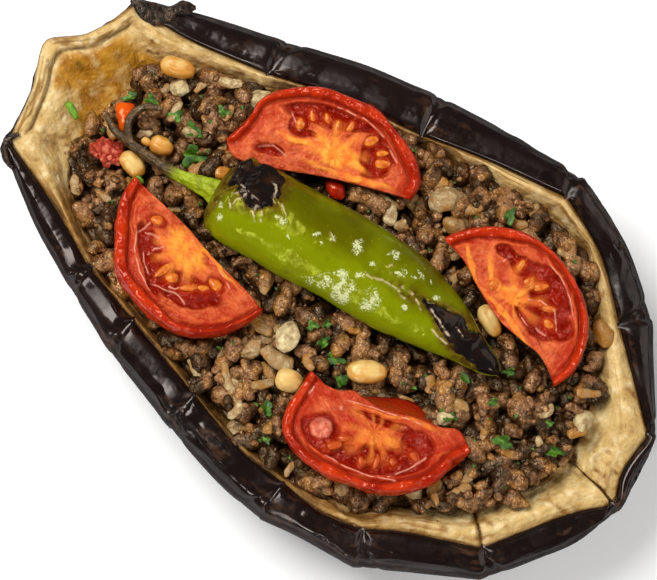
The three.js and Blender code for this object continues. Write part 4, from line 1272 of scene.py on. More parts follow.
def wedge_edge(spec):
    """The cut face's outline as WEDGE_AROUND samples evenly turned about the pole, and the finely sampled
    skin side."""
    corners = [*spec["round_edge"], *spec["straight_edge"]]
    tips = np.zeros(len(corners), bool)
    tips[[0, len(spec["round_edge"]) - 1]] = True
    run = closed_run(corners, tips, 24)
    skin = run[: 24 * (len(spec["round_edge"]) - 1)]
    away = run - WEDGE_POLE
    turn = np.unwrap(np.arctan2(away[:, 1], away[:, 0]))
    asked = turn[0] + np.arange(WEDGE_AROUND) / WEDGE_AROUND * TAU
    turn, run = np.append(turn, turn[0] + TAU), np.vstack([run, run[:1]])
    samples = np.column_stack([np.interp(asked, turn, run[:, 0]), np.interp(asked, turn, run[:, 1])])
    span = asked < turn[24 * (len(spec["round_edge"]) - 1)]
    return samples, skin, span


def oval(x, y, middle_x, middle_y, half_long, half_short, turn):
    """Distance from an ellipse's middle as a share of its half sizes."""
    c, s = np.cos(np.radians(turn)), np.sin(np.radians(turn))
    u, v = x - middle_x, y - middle_y
    return np.hypot((u * c + v * s) / half_long, (v * c - u * s) / half_short)


def away_from(x, y, line):
    """Distance to the nearest of a line's straight parts."""
    best = np.full(x.shape, 99.0)
    for (ax, ay), (bx, by) in zip(line[:-1], line[1:]):
        t = np.clip(((x - ax) * (bx - ax) + (y - ay) * (by - ay)) / ((bx - ax) ** 2 + (by - ay) ** 2), 0, 1)
        best = np.minimum(best, np.hypot(x - ax - t * (bx - ax), y - ay - t * (by - ay)))
    return best


def wedge_marks(spec, x, y, skin_side):
    """What each point of the cut face is, as shares of skin, rim, pulp, core and glint film, a pale wet film
    painted as highlight lines, and its distance from the skin. Pockets of pulp and the core are ellipses with
    edges bent by noise; fingers of core run out from the hub."""
    seed = sum(spec["node"].encode())
    flat = np.stack([x, y, np.full_like(x, seed)], -1)
    bend_x, bend_y = 0.9 * layered(flat, 5.0, 3, seed), 0.9 * layered(flat, 5.0, 3, seed + 40)
    gap = away_from(x, y, skin_side[::6])
    first, middle, last = spec["rims"]
    along = np.clip((x + 22) / 44, 0, 1)
    width = mix(mix(last, middle, smoothstep(along, 0, 0.5)), first, smoothstep(along, 0.5, 1))
    width = width * (1 + 0.25 * rolling(flat, 6.0, seed + 2))
    skin = 1 - smoothstep(gap, width - 0.25, width + 0.25)
    wx, wy = x + bend_x, y + bend_y
    pulp = np.zeros_like(x)
    for pocket in spec["pockets"]:
        pulp = np.maximum(pulp, 1 - smoothstep(oval(wx, wy, *pocket), 0.9, 1.12))
    pulp = pulp * smoothstep(gap, width + 1.3, width + 2.1)
    hub_x, hub_y = spec["hub"]
    angle = np.arctan2(y - hub_y, x - hub_x)
    out = np.hypot(x - hub_x, y - hub_y)
    turned = angle * 4.5 + 1.6 * rolling(flat, 6.0, seed + 3)
    fingers = np.clip(np.abs(np.sin(turned)) * 1.6 - 0.7, 0, 1) * (1 - smoothstep(out, 6.0, 9.5))
    core = np.zeros_like(x)
    for part in spec["cores"]:
        core = np.maximum(core, 1 - smoothstep(oval(wx, wy, *part), 0.55, 1.15))
    core = core * (0.8 + 0.35 * rolling(flat, 2.2, seed + 4)) + 0.55 * fingers * smoothstep(y, 1, 3)
    core = np.clip(core, 0, 1) * smoothstep(gap, width + 0.6, width + 2.6)
    # Painted highlights: pale wet films along the given lines, also raised a little.
    glint_film = np.zeros_like(x)
    for line in spec["glint_films"]:
        far = away_from(x + 0.25 * bend_x, y + 0.25 * bend_y, line)
        glint_film = np.maximum(glint_film, 1 - smoothstep(far, 0.05, 0.27))
    glint_film = glint_film * smoothstep(rolling(flat, 1.6, seed + 6), -0.75, -0.1)
    glow = core * spec["glow"]
    return gap, width, flat, seed, {"skin": skin, "pulp": pulp * (1 - core), "core": glow, "glint_film": glint_film}


def wedge_relief(spec, x, y, skin_side):
    """Height of the cut face: a rolled skin edge with a groove inside it, sunk pulp, a raised core and raised
    films. Its marks paint the groove dark as shade, and the films and blisters pale as highlights."""
    gap, width, flat, seed, marks = wedge_marks(spec, x, y, skin_side)
    roll = np.sqrt(np.clip(1 - ((gap - 0.55 * width) / (0.62 * width)) ** 2, 0, 1))
    shaded_groove = bell(gap - width - 0.35, 0.5)
    lines = np.sin((gap - width) * 3.4 + 5.0 * layered(flat, 5.0, 2, seed + 8))
    lines = lines * smoothstep(gap, width, width + 0.8) * (1 - smoothstep(gap, width + 1.8, width + 3.8))
    lines = lines * smoothstep(rolling(flat, 4.5, seed + 14), -0.3, 0.4)
    height = 1.2 * roll - 0.6 * shaded_groove + 0.13 * lines - 1.15 * marks["pulp"] + 0.3 * marks["core"]
    height = height + 0.3 * marks["glint_film"] + 0.3 * layered(flat, 3.2, 2, seed + 9) * (1 - 0.5 * marks["skin"])
    height = height + 0.8 * marks["pulp"] * layered(flat, 2.2, 2, seed + 10)
    height = height + 0.35 * marks["skin"] * layered(flat, 2.6, 2, seed + 22)
    height = height + 0.13 * layered(flat, 0.9, 2, seed + 12) * (1 - marks["pulp"])
    height = height - marks["skin"] * 0.9 * np.clip(0.35 - np.abs(layered(flat, 5.5, 2, seed + 16)), 0, 1)
    for seed_x, seed_y, half_long, half_short, turn in spec["seeds"]:
        far = oval(x, y, seed_x, seed_y, half_long + HALO, half_short + HALO, turn)
        marks["halo"] = np.maximum(marks.get("halo", 0), 1 - smoothstep(far, 0.75, 1.1))
    height = height + 0.45 * marks["halo"]
    # Blisters are raised and painted with a pale speckle as a highlight.
    for bx, by, radius in spec.get("blisters", []):
        far = np.hypot(x - bx, y - by) / radius
        height = height + 0.36 * radius * np.sqrt(np.clip(1 - far**2, 0, 1))
        speckled = 0.45 + 0.5 * layered(flat, 0.7, 2, seed + 20)
        marks["glint_film"] = np.maximum(marks["glint_film"], speckled * (1 - smoothstep(far, 0.6, 1.05)))
        marks["pulp"] = marks["pulp"] * smoothstep(far, 0.7, 1.0)
    deep = 0.9 * (1 - smoothstep(gap, width, width + 4.5)) + 1.2 * (1 - spec["glow"])
    marks["deep"] = np.clip(deep + 0.5 * layered(flat, 3.5, 3, seed + 18), 0, 1)
    # Painted shade: the groove inside the rolled skin is darkened.
    marks["shaded_groove"] = np.clip(0.7 * shaded_groove - marks["skin"], 0, 1)
    marks["line"] = np.clip(lines, 0, 1) * (1 - marks["skin"]) * (1 - marks["pulp"])
    return height, marks


def wedge_body(spec):
    """A wedge as rings about a pole: the cut face out to its outline, and then down its sides to the lower
    ridge. The skin side is a quarter ellipse and the straight side is a second cut face, which bulges out by
    the ledge."""
    edge, skin_side, round_side = wedge_edge(spec)
    share = np.linspace(0, 1, WEDGE_RINGS + 1)[1:, None, None]
    top = mix(np.array(WEDGE_POLE), edge[None], share)
    height, marks = wedge_relief(spec, top[..., 0], top[..., 1], skin_side)
    settle = smoothstep(share[..., 0], 0.975, 1.0)
    height = height * (1 - settle) - 0.45 * settle
    half = np.abs(edge[:, 0]).max()
    depth = edge[:, 1].max()
    bulk = np.sqrt(np.clip(1 - (edge[:, 0] / half) ** 2, 0, 1))
    ridge = np.column_stack([edge[:, 0] * 0.97, WEDGE_RIDGE_SHARE * depth * bulk])
    ridge[:, 1] += np.where(round_side, 0.3, -0.3)
    down = np.linspace(0, 1, WEDGE_SIDE + 1)[1:, None]
    lean = np.where(round_side[None], 1 - np.cos(down * np.pi / 2), down)
    side = mix(edge[None], ridge[None], lean[..., None])
    size, ledge_x, reach = spec["ledge"]
    step_out = np.clip(down / 0.22, 0, 1) * (1 - smoothstep(down, 0.22, 0.8))
    bulge = size * step_out * bell(edge[:, 0] - ledge_x, reach) * ~round_side[None]
    grid = np.stack([side[..., 0], side[..., 1], down * 9 + 0 * side[..., 0]], -1)
    crinkle = 0.55 * layered(grid, 4.5, 3, 77) - 0.7 * np.clip(0.4 - np.abs(rolling(grid, 5.0, 79)), 0, 1)
    side[..., 1] += (crinkle + 0.4 * np.sin(down * np.pi)) * round_side - bulge
    sink = -0.45 - spec["thick"] * bulk**0.8 * np.where(round_side[None], np.sin(down * np.pi / 2), down**0.9)
    rings = np.concatenate([np.dstack([top, height]), np.dstack([side, sink])])
    middle = [*WEDGE_POLE, height[0].mean()], [0, ridge[:, 1].max(), rings[-1, :, 2].min()]
    full = {}
    for key, values in marks.items():
        below = np.zeros((WEDGE_SIDE, WEDGE_AROUND))
        if key == "skin":
            below += round_side
        if key == "core":
            below += bell(down, 0.12) * ~round_side * spec["facet"]
        if key in ("pulp", "deep"):
            below += 0.95 * ~round_side
        grid = np.concatenate([values, below])
        full[key] = np.concatenate([[values[0].mean()], grid.ravel(), [0.0]])
    points, faces = capped_rings(middle[0], rings, middle[1])
    return points, [face[::-1] for face in faces], full


def placed(spec, points):
    """Tilted about its straight edge, turned about +Z and moved to its place."""
    return points @ (yawed(spec["yaw"]) @ tilted(spec["tilt"])).T + np.array(spec["at"])


def skin_colour(tree, tomato):
    patches = blotches(tree, 0.006, 0.3, 0.7, 3.0, 0.6)
    return blended(tree, patches, scaled(tomato.skin, 0.6, 0.6, 1), scaled(tomato.skin, 1.1, 2.4, 3.0))


def tomato_skin_material(tomato):
    """The rolled skin: deep red, wrinkled and glossy, painted darker in the groove inside it as shade."""
    material, tree, shader = new_material("Tomato skin", 0.42, (1.0, 0.5, 0.36))
    shaded_groove = mark(tree, "shaded_groove")
    # Painted shade in the groove.
    colour = blended(tree, shaded_groove, skin_colour(tree, tomato), scaled(tomato.skin, 0.4, 0.4, 0.5))
    normal = bumped(tree, blotches(tree, 0.0024, 0.3, 0.7, 2.0, 0.5), 0.00022)
    finish_material(tree, shader, colour, oiled(tree, 0.003, 0.22, 0.09, 0.5), normal)
    return material


def tomato_material(tomato):
    """Roast tomato: saturated wall, wet dark pulp, a glowing streaked core, a wrinkled glossy skin, a groove
    painted dark as shade, and pale films painted as highlights."""
    material, tree, shader = new_material("Roast tomato", 0.33, (1.0, 0.46, 0.34))
    streaks = blotches(tree, 0.0026, 0.3, 0.72, 4.0, 0.35)
    fibre = blotches(tree, 0.0008, 0.3, 0.7, 3.0, 0.15)
    wall = blended(tree, streaks, scaled(tomato.wall, 0.72, 0.4, 0.3), scaled(tomato.wall, 1.2, 2.1, 2.2))
    wall = stained(tree, wall, fibre, 0.3, (0.72, 0.24, 0.09))
    deep = times(tree, mark(tree, "deep"), 0.85)
    wall = blended(tree, deep, wall, scaled(tomato.wall, 0.72, 0.26, 0.15))
    pulp = blended(tree, streaks, opaque(tomato.pulp), scaled(tomato.pulp, 1.4, 2.2, 2.2))
    pulp = blended(tree, times(tree, mark(tree, "halo"), 0.4), pulp, scaled(tomato.pulp, 2.2, 12, 8))
    core = blended(tree, streaks, opaque(tomato.core), scaled(tomato.core, 0.85, 0.45, 0.5))
    skin = skin_colour(tree, tomato)
    colour = blended(tree, mark(tree, "pulp"), wall, pulp)
    colour = blended(tree, mark(tree, "core"), colour, core)
    colour = blended(tree, mark(tree, "skin"), colour, skin)
    # Painted shade in the groove.
    colour = blended(tree, mark(tree, "shaded_groove"), colour, scaled(tomato.skin, 0.4, 0.4, 0.5))
    colour = stained(tree, colour, mark(tree, "line"), 0.4, (0.74, 0.15, 0.03))
    # Painted highlight: pale films over the wet pulp.
    colour = stained(tree, colour, mark(tree, "glint_film"), 0.8, (0.80, 0.33, 0.22))
    wet = ranged(tree, mark(tree, "pulp"), 0.2, 0.8, 0.4, 0.15)
    roughness = times(tree, wet, oiled(tree, 0.002, 1.2, 0.55, 0.5))
    normal = bumped(tree, fibre, 0.0001, 1.0)
    normal = bumped(tree, blotches(tree, 0.0022, 0.25, 0.75, 3.0, 0.85), 0.00015, 1.0, normal)
    finish_material(tree, shader, colour, roughness, normal)
    return material


def tomato_seeds():
    """Seeds of all wedges: flattened balls with one end narrower, half sunk in the pulp."""
    directions, triangles = ball(3)
    narrow = np.column_stack([np.ones(len(directions)), *[1 - 0.25 * directions[:, 0]] * 2])
    shapes, glow = [], []
    for spec in TOMATO_WEDGES:
        skin_side = wedge_edge(spec)[1]
        x, y, half_long, half_short, turn = np.array(spec["seeds"], float).T
        height = wedge_relief(spec, x, y, skin_side)[0]
        for i in range(len(x)):
            size = np.array([half_long[i], half_short[i], 0.4 * half_short[i] + 0.15])
            local = (directions * size * narrow) @ yawed(turn[i]).T + [x[i], y[i], height[i] - 0.02]
            shapes.append(placed(spec, local))
            glow += [spec["glow"]] * len(local)
    return *joined(np.array(shapes), triangles), np.array(glow)


class EGGPLANT_OT_tomatoes(bpy.types.Operator):
    """Makes the four tomato wedges and their seeds"""

    bl_idname = "eggplant.tomatoes"
    bl_label = "Tomato wedges"

    def execute(self, context):
        tomato = context.scene.tomato
        material, skin = tomato_material(tomato), tomato_skin_material(tomato)
        for spec in TOMATO_WEDGES:
            points, faces, marks = wedge_body(spec)
            node, points = spec["node"], placed(spec, points)
            wedge = add_piece(node + "_cut", points, faces, material, "tomato", [node], marks)
            paint_faces(wedge, faces, marks["skin"], skin)
        seed, tree, shader = new_material("Tomato seed", 0.4, (1.0, 0.8, 0.5))
        tint = blotches(tree, 0.0012, 0.3, 0.7, 2.0)
        core = tomato.core
        pale = blended(tree, tint, scaled(core, 0.82, 0.72, 0.7), scaled(core, 0.55, 0.22, 0.2))
        tone = ranged(tree, mark(tree, "glow"), 0.5, 1.0, 0.0, 0.85)
        pale = blended(tree, tone, scaled(core, 0.5, 0.16, 0.2), pale)
        finish_material(tree, shader, pale, oiled(tree, 0.001, 0.4, 0.2, 0.5))
        points, faces, glow = tomato_seeds()
        add_piece("tomato_seeds", points, faces, seed, "tomato", (), {"glow": glow})
        return {"FINISHED"}


# ---------------------------------------------------------------- the pepper
def tube_rings(rows, sides, shape=None):
    """Upright sections across a run of x, y, z, half width and half height. shape gives a factor by row and
    turn."""
    step = np.gradient(rows[:, :2], axis=0)
    step = unit(step)
    turn = np.arange(sides) / sides * TAU
    factor = 1.0 if shape is None else shape(np.linspace(0, 1, len(rows))[:, None], turn[None])
    wide = rows[:, 3:4] * np.cos(turn) * factor
    high = rows[:, 4:5] * np.sin(turn) * factor
    x = rows[:, 0:1] - step[:, 1:2] * wide
    y = rows[:, 1:2] + step[:, 0:1] * wide
    return np.stack([x, y, rows[:, 2:3] + high], -1), turn


def pepper_body():
    """The pepper's skin: an upright-sectioned tube with shallow lobes, dents, a puckered brown ring below
    the stem, a charred hump at that end, a trough along its back and a sunken, glossy charred tip."""
    rows = open_run(PEPPER_SPINE, 34)
    rings, turn = tube_rings(rows, 200, lambda t, a: 1 + 0.035 * np.cos(3 * a + 2.2 * t + 0.4) * (1 - t))
    middle = rows[:, None, :3]
    out = unit(rings - middle)
    x, y = rings[..., 0], rings[..., 1]
    rough, fine = layered(rings, 3.0, 3, 61), layered(rings, 1.5, 2, 62)
    lying = smoothstep(out[..., 2], -0.1, 0.35)
    hump = np.hypot((x + 26.5) / 7.4, (y - 5.4) / 6.2) + 0.2 * rough
    patch = (1 - smoothstep(hump, 0.82, 0.95)) * lying
    halo = (1 - smoothstep(hump, 0.95, 1.4)) * lying
    wide = mix(0.7, 4.0, smoothstep(x, 22, 34))
    band = np.abs(y - 6.6 + 0.09 * (x - 24)) / wide + 0.25 * rough
    ends = smoothstep(x + rough, 20, 25) * smoothstep(out[..., 2], 0.0, 0.3)
    burnt = (1 - smoothstep(band, 0.8, 1.0)) * ends
    around_burn = (1 - smoothstep(band, 0.95, 1.7)) * smoothstep(x, 16, 26)
    around_burn = around_burn * smoothstep(out[..., 2], 0.0, 0.3)
    trough = bell(y - 5.4, 1.7) * smoothstep(x, -4, 8) * (1 - smoothstep(x, 22, 30)) * lying
    move = 0.45 * rolling(rings, 9.0, 63) + 0.12 * layered(rings, 2.4, 2, 65) * (1 - burnt) - 0.9 * trough
    move = move - burnt * (0.35 + 0.9 * np.abs(rolling(rings, 4.0, 66)))
    move = move + patch * (1.3 - 1.1 * np.abs(rolling(rings, 4.2, 67)))
    collar = bell(x + 32.6 + 0.5 * rough, 1.5)
    move = move + collar * (0.35 + 0.5 * np.cos(11 * turn + 3 * rough)) - 0.5 * bell(x + 30.2, 0.8)
    shoulder = smoothstep(np.arange(len(rows)) / len(rows), 0.0, 0.1)[:, None]
    # The raised creases are also painted pale as highlights.
    glinting_crease = np.min([away_from(x + 0.3 * fine, y + 0.3 * rough, line) for line in PEPPER_GLINT_CREASES], axis=0)
    glinting_crease = (1 - smoothstep(glinting_crease, 0.1, 0.34)) * lying
    move = move * (0.3 + 0.7 * shoulder) + 0.22 * glinting_crease
    rings = rings + out * move[..., None]
    scorch = 0.3 * smoothstep(layered(rings, 8.0, 3, 71), 0.3, 0.9) + collar + halo + around_burn
    scorch = scorch + trough * smoothstep(x + 4 * rough, 8, 15) * smoothstep(fine + rough, -0.4, 0.3)
    bent = np.stack([x + 0.9 * fine, y + 0.6 * rough], -1)
    # Crazed places are painted pale as broken highlights.
    crazed_glint = [np.exp(-(((bent - [cx, cy]) ** 2).sum(-1) / reach**2) ** 2) for cx, cy, reach in CRAZED_GLINTS]
    crazed_glint = np.max(crazed_glint, 0) * lying * (1 - patch) * (0.85 + 0.5 * fine)
    # Painted light: the skin facing the near side is painted lighter and greener.
    lit_near_side = smoothstep(-out[..., 1] + 0.15 * rough, -0.1, 0.8)
    marks = {"char": patch + burnt, "scorch": scorch, "crazed_glint": crazed_glint, "glinting_crease": glinting_crease, "lit_near_side": lit_near_side}
    return rings, clipped(marks)


def glint_creased(tree, colour, pale):
    """The colour with broken pale lines painted as highlights along the raised creases."""
    lit = times(tree, mark(tree, "glinting_crease"), blotches(tree, 0.0014, 0.4, 0.55, 2.0, 0.8))
    return stained(tree, colour, lit, 0.75, pale)


def pepper_material(pepper):
    """Grilled skin: green with yellow patches and painted light on its near side, brown where scorched,
    glossy black where charred, with crazed places and creases painted pale as highlights."""
    material, tree, shader = new_material("Grilled pepper", 0.24, (0.95, 1.0, 0.12))
    patches = blotches(tree, 0.012, 0.35, 0.7, 3.0, 0.25)
    patches = times(tree, patches, 0.7)
    # Painted light on the near side, with random greener patches added.
    lit_near_side = calculated(tree, "MULTIPLY_ADD", mark(tree, "lit_near_side"), 1.1, patches, True)
    green = blended(tree, lit_near_side, opaque(pepper.skin), opaque(pepper.fresh))
    dots = times(tree, blotches(tree, 0.0011, 0.68, 0.75, 1.0, 0.4), 0.3)
    green = blended(tree, dots, green, (0.30, 0.32, 0.02, 1))
    brown = blotches(tree, 0.002, 0.35, 0.65, 4.0, 0.5)
    brown = blended(tree, brown, (0.055, 0.026, 0.002, 1), (0.13, 0.078, 0.006, 1))
    scorch = times(tree, mark(tree, "scorch"), blotches(tree, 0.0016, 0.2, 0.5, 4.0, 0.15))
    colour = blended(tree, scorch, green, brown)
    # Painted highlight: pale crazed film, broken at its edges.
    edge = blotches(tree, 0.0005, 0.3, 0.7, 3.0, 0.7)
    broken = calculated(tree, "MULTIPLY_ADD", edge, 0.7, -0.6)
    glint_film = calculated(tree, "ADD", mark(tree, "crazed_glint"), broken, 0.0, True)
    glint_film = ranged(tree, glint_film, 0.1, 0.75, 0.0, 0.85)
    colour = blended(tree, glint_film, colour, (0.64, 0.66, 0.36, 1))
    colour = blended(tree, mark(tree, "char"), colour, opaque(pepper.char))
    # Painted highlights along the creases.
    colour = glint_creased(tree, colour, (0.60, 0.46, 0.26))
    normal = bumped(tree, blotches(tree, 0.006, 0.25, 0.75, 3.0, 0.75), 0.0002, 0.9)
    normal = bumped(tree, times(tree, edge, mark(tree, "crazed_glint")), 0.00016, 1.0, normal)
    finish_material(tree, shader, colour, oiled(tree, 0.003, 0.27, 0.17, 0.5), normal)
    return material


def charred_material(pepper):
    """Black blistered skin with brown flakes and pale creases painted as highlights, oily in places."""
    material, tree, shader = new_material("Charred pepper", 0.17, (1.0, 0.8, 0.66))
    flakes = times(tree, blotches(tree, 0.004, 0.5, 0.7, 3.0, 0.55), 0.6)
    colour = blended(tree, flakes, opaque(pepper.char), (0.040, 0.013, 0.004, 1))
    # Painted highlights along the creases.
    colour = glint_creased(tree, colour, (0.60, 0.46, 0.30))
    normal = bumped(tree, blotches(tree, 0.006, 0.25, 0.75, 1.0, 0.75), 0.0006, 1.0)
    finish_material(tree, shader, colour, oiled(tree, 0.004, 0.22, 0.07, 0.45), normal)
    return material


def stem_material(pepper):
    material, tree, shader = new_material("Pepper stem", 0.45, (1.0, 0.92, 0.7))
    browned = mark(tree, "browned")
    streaks = blotches(tree, 0.0016, 0.3, 0.7, 3.0, 0.45)
    green = blended(tree, streaks, scaled(pepper.fresh, 2.0, 2.1, 8), scaled(pepper.fresh, 1.15, 1.2, 2))
    brown = blended(tree, streaks, (0.022, 0.010, 0.004, 1), (0.11, 0.055, 0.018, 1))
    colour = blended(tree, browned, green, brown)
    normal = bumped(tree, blotches(tree, 0.0009, 0.3, 0.7, 3.0, 0.9), 0.0002)
    finish_material(tree, shader, colour, oiled(tree, 0.002, 0.5, 0.25, 0.5), normal)
    return material


STEM_SIDES = 28


def stem_tube(spine):
    """A tube along a spine of x, y, z and radius, with five ridges and nine finer ones that wind. It's brown
    from where the spine reaches the filling."""
    rows = open_run([(x, y, z, radius, radius) for x, y, z, radius in spine], 14)

    def ridges(along, turn):
        return 1 + 0.12 * np.cos(5 * turn + 2 * along) + 0.05 * np.sin(9 * turn + 40 * along)

    rings, _ = tube_rings(rows, STEM_SIDES, ridges)
    browned = smoothstep(-rows[:, 0] + 1.6 * rolling(rows[:, :3], 3.0, 81), 44, 50)
    marks = np.concatenate([browned[:1], np.repeat(browned, STEM_SIDES), browned[-1:]])
    points, faces = capped_rings(rows[0, :3], rings, rows[-1, :3])
    return points, faces, marks


class EGGPLANT_OT_pepper(bpy.types.Operator):
    """Makes the grilled green pepper and its forked stem"""

    bl_idname = "eggplant.pepper"
    bl_label = "Green pepper"

    def execute(self, context):
        pepper = context.scene.pepper
        rings, marks = pepper_body()
        marks = poled(marks)
        points, faces = closed_tube(rings)
        skin, slot = pepper_material(pepper), "green_pepper"
        body = add_piece("pepper_skin", points, faces, skin, slot, ["green_pepper"], marks)
        paint_faces(body, faces, marks["char"], charred_material(pepper))
        material = stem_material(pepper)
        for name, spine in (("pepper_stem", STEM_SPINE), ("pepper_stem_fork", STEM_FORK)):
            points, faces, browned = stem_tube(spine)
            add_piece(name, points, faces, material, slot, (), {"browned": browned})
        return {"FINISHED"}


# ---------------------------------------------------------------- garnish
# Kernels: node, x, y, z, half length, half width, half height, yaw and toasting. The last ones have no node.
KERNELS = [
    ("pine_nut_1", -57.2, -7.0, 37.6, 3.9, 2.5, 2.3, -12, 0.35),
    ("pine_nut_2", -54.2, 1.0, 38.0, 3.0, 2.5, 2.4, 10, 0.6),
    ("pine_nut_3", 21.8, -14.6, 39.9, 5.0, 2.9, 2.6, 35, 0.3),
    ("pine_nut_4", 7.6, -27.6, 39.2, 3.5, 2.8, 2.6, 15, 0.05),
    ("pine_nut_5", 38.6, 14.1, 38.7, 4.4, 2.4, 2.1, -28, 0.25),
    ("pine_nut_6", -63.4, 19.8, 38.2, 4.6, 2.6, 2.5, 22, 0.5),
    ("pine_nut_7", -57.8, -0.5, 38.6, 1.4, 1.1, 1.0, 0, 0.35),
    ("pine_nut_8", -37.3, 4.6, 38.6, 2.6, 1.7, 1.5, 30, 0.9),
]

# Pale lumps of onion and fat: x, y, half length, half width, half height, yaw and toasting.
PALE_LUMPS = [
    (-60.2, 16.4, 2.2, 2.0, 1.6, 20, 0.15), (-42.0, 25.2, 4.0, 2.6, 1.8, 30, 0.1),
    (1.2, -19.4, 3.4, 2.4, 1.9, 108, 0.1), (11.8, 32.4, 3.5, 2.9, 2.4, 60, 0.4),
    (17.2, 28.4, 2.4, 1.9, 1.6, 10, 0.75), (29.6, 22.4, 1.9, 1.7, 1.4, 0, 0.5),
    (5.0, -44.6, 3.1, 2.7, 2.0, 35, 0.55), (63.4, 28.6, 3.1, 2.5, 1.8, 140, 0.95),
    (27.0, 22.2, 1.5, 1.2, 1.2, 0, 0.9), (-4.8, -26.6, 2.6, 2.0, 1.6, 60, 0.5),
    (48.2, -31.0, 1.9, 1.7, 1.4, 0, 0.4), (-50.6, 8.0, 1.6, 1.3, 1.2, 0, 0.3),
    (43.6, -12.6, 2.0, 1.5, 1.2, 50, 0.1), (71.6, 7.0, 2.6, 2.0, 1.6, 90, 0.3),
    (33.5, -40.5, 2.0, 1.8, 1.4, 0, 0.6),
]

# Onion slices placed one by one: x, y, half length, half width, heading and bend in degrees.
ONION_SLICES = [
    (5.6, 27.4, 5.0, 2.0, -8, -28), (2.2, 21.6, 4.4, 2.0, -35, -55), (8.6, 21.6, 4.2, 1.9, -10, 60),
    (-7.6, -20.6, 5.4, 1.7, -30, 55), (-3.4, -22.8, 4.6, 1.9, 60, 70), (2.6, -25.2, 4.4, 2.0, 5, 30),
    (52.6, -29.4, 3.9, 1.7, -60, 85), (45.0, -8.0, 3.0, 1.6, 20, -40), (58.0, -24.0, 2.6, 1.5, 60, 60),
    (-67.6, -3.0, 2.8, 1.4, -30, 20), (-43.5, 2.4, 3.0, 1.3, 70, -30), (-50.4, 24.4, 4.2, 1.5, 20, 20),
    (-4.6, -36.8, 4.4, 1.2, -38, 12), (-12.0, -39.6, 4.0, 1.2, -28, -14), (22.0, 25.0, 3.4, 1.2, 100, 50),
    (36.0, -7.2, 2.4, 1.5, 120, 20),
]

# The ends between which a small scrap's half length, half width, heading and bend are drawn.
SCRAP_RANGES = [(1.4, 3.2), (0.8, 1.4), (0, 360), (-80, 80)]

# Leaves of parsley: x, y, size and yaw.
PARSLEY = [
    (-46.0, 4.2, 3.9, 30), (-50.0, 8.6, 2.7, 10), (-56.2, 9.6, 2.4, 80), (-63.6, 9.0, 2.0, 20),
    (-68.8, 6.8, 2.1, 70), (-46.6, 17.2, 1.9, 0), (27.2, 38.0, 2.3, 110), (49.8, 6.4, 1.7, 40),
    (44.2, -11.6, 2.4, 20), (13.4, -16.6, 2.6, 30), (17.6, -19.8, 2.3, 150), (4.2, -13.4, 1.7, 60),
    (6.6, -10.8, 1.3, 100), (65.2, 2.0, 1.3, 0), (70.0, -3.0, 2.6, 20), (51.2, -2.4, 1.4, 60),
    (7.2, -36.4, 2.2, 130), (12.0, -42.6, 1.2, 0), (-11.0, -31.2, 1.2, 40), (58.6, -8.4, 2.6, 5),
    (42.0, -1.6, 1.6, 170), (37.0, 22.6, 1.2, 20), (30.5, -25.0, 1.0, 0), (-36.0, 22.0, 1.2, 60),
    (8.8, -15.0, 1.8, 80),
]


def garnish_material(name, size, stops, rough, bump, gloss=0.4, tint=(1, 1, 1), **shader_values):
    """Colour by the tone mark, from one stop to the next, varied by patches of a size."""
    material, tree, shader = new_material(name, gloss, tint, **shader_values)
    patches = blotches(tree, size, 0.3, 0.7, 3.0, 0.33)
    even = calculated(tree, "SUBTRACT", mark(tree, "tone"), 0.22)
    tone = calculated(tree, "MULTIPLY_ADD", patches, 0.44, even)
    normal = bumped(tree, blotches(tree, size * 0.4, 0.25, 0.75, 3.0, 0.8), bump)
    roughness = oiled(tree, size, *rough)
    finish_material(tree, shader, toned(tree, tone, stops), roughness, normal)
    return material


NUT_POWER = 2.4


def kernel(x, y, z, half_long, half_wide, half_high, yaw):
    """A pine nut: a blunt ball, on which the powers |d|^2.4 of the three coordinates add up to one, with one
    end drawn narrower, the sides slightly flat and a faint dent along the top."""
    directions, triangles = ball(4)
    narrow = 1 - 0.1 * directions[:, 0] - 0.03 * directions[:, 0] ** 2
    blunt = (np.abs(directions) ** NUT_POWER).sum(1) ** (-1 / NUT_POWER)
    shape = directions * blunt[:, None] * [half_long, half_wide, half_high]
    shape[:, 1:] *= narrow[:, None]
    middle = np.array([x, y, z])
    dent = 0.12 * half_wide * bell(directions[:, 1], 0.25) * (directions[:, 2] > 0)
    shape[:, 2] -= dent * smoothstep(directions[:, 0], -0.9, -0.2)
    shape = shape @ yawed(yaw).T + middle
    return shape + directions * (0.09 * half_wide * layered(shape, 2.4, 2, 17))[:, None], triangles


FACET_POWER = 14


def lump(x, y, z, half_long, half_wide, half_high, yaw, seed, level=4, rough=0.3):
    """A cut lump: a rounded polyhedron, whose reach along a direction d is the soft minimum over its sides
    of one over the cosine between d and the side's normal, then roughened by layered noise."""
    directions, triangles = ball(level)
    normals = unit(np.random.default_rng(seed).normal(size=(11, 3)))
    near = np.clip(directions @ normals.T, 0, None) ** FACET_POWER
    reach = np.minimum(near.sum(1) ** (-1 / FACET_POWER), 1.3)[:, None]
    shape = (directions * reach * [half_long, half_wide, half_high]) @ yawed(yaw).T + [x, y, z]
    return shape + (directions @ yawed(yaw).T) * (rough * layered(shape, 1.8, 3, seed))[:, None], triangles


LEAF_AROUND = 26
LEAF_RINGS = 5
LEAF_THICKNESS = 0.25
LEAF_SINK = 0.1  # how deep a leaf that would hang in the air is pressed into what lies below


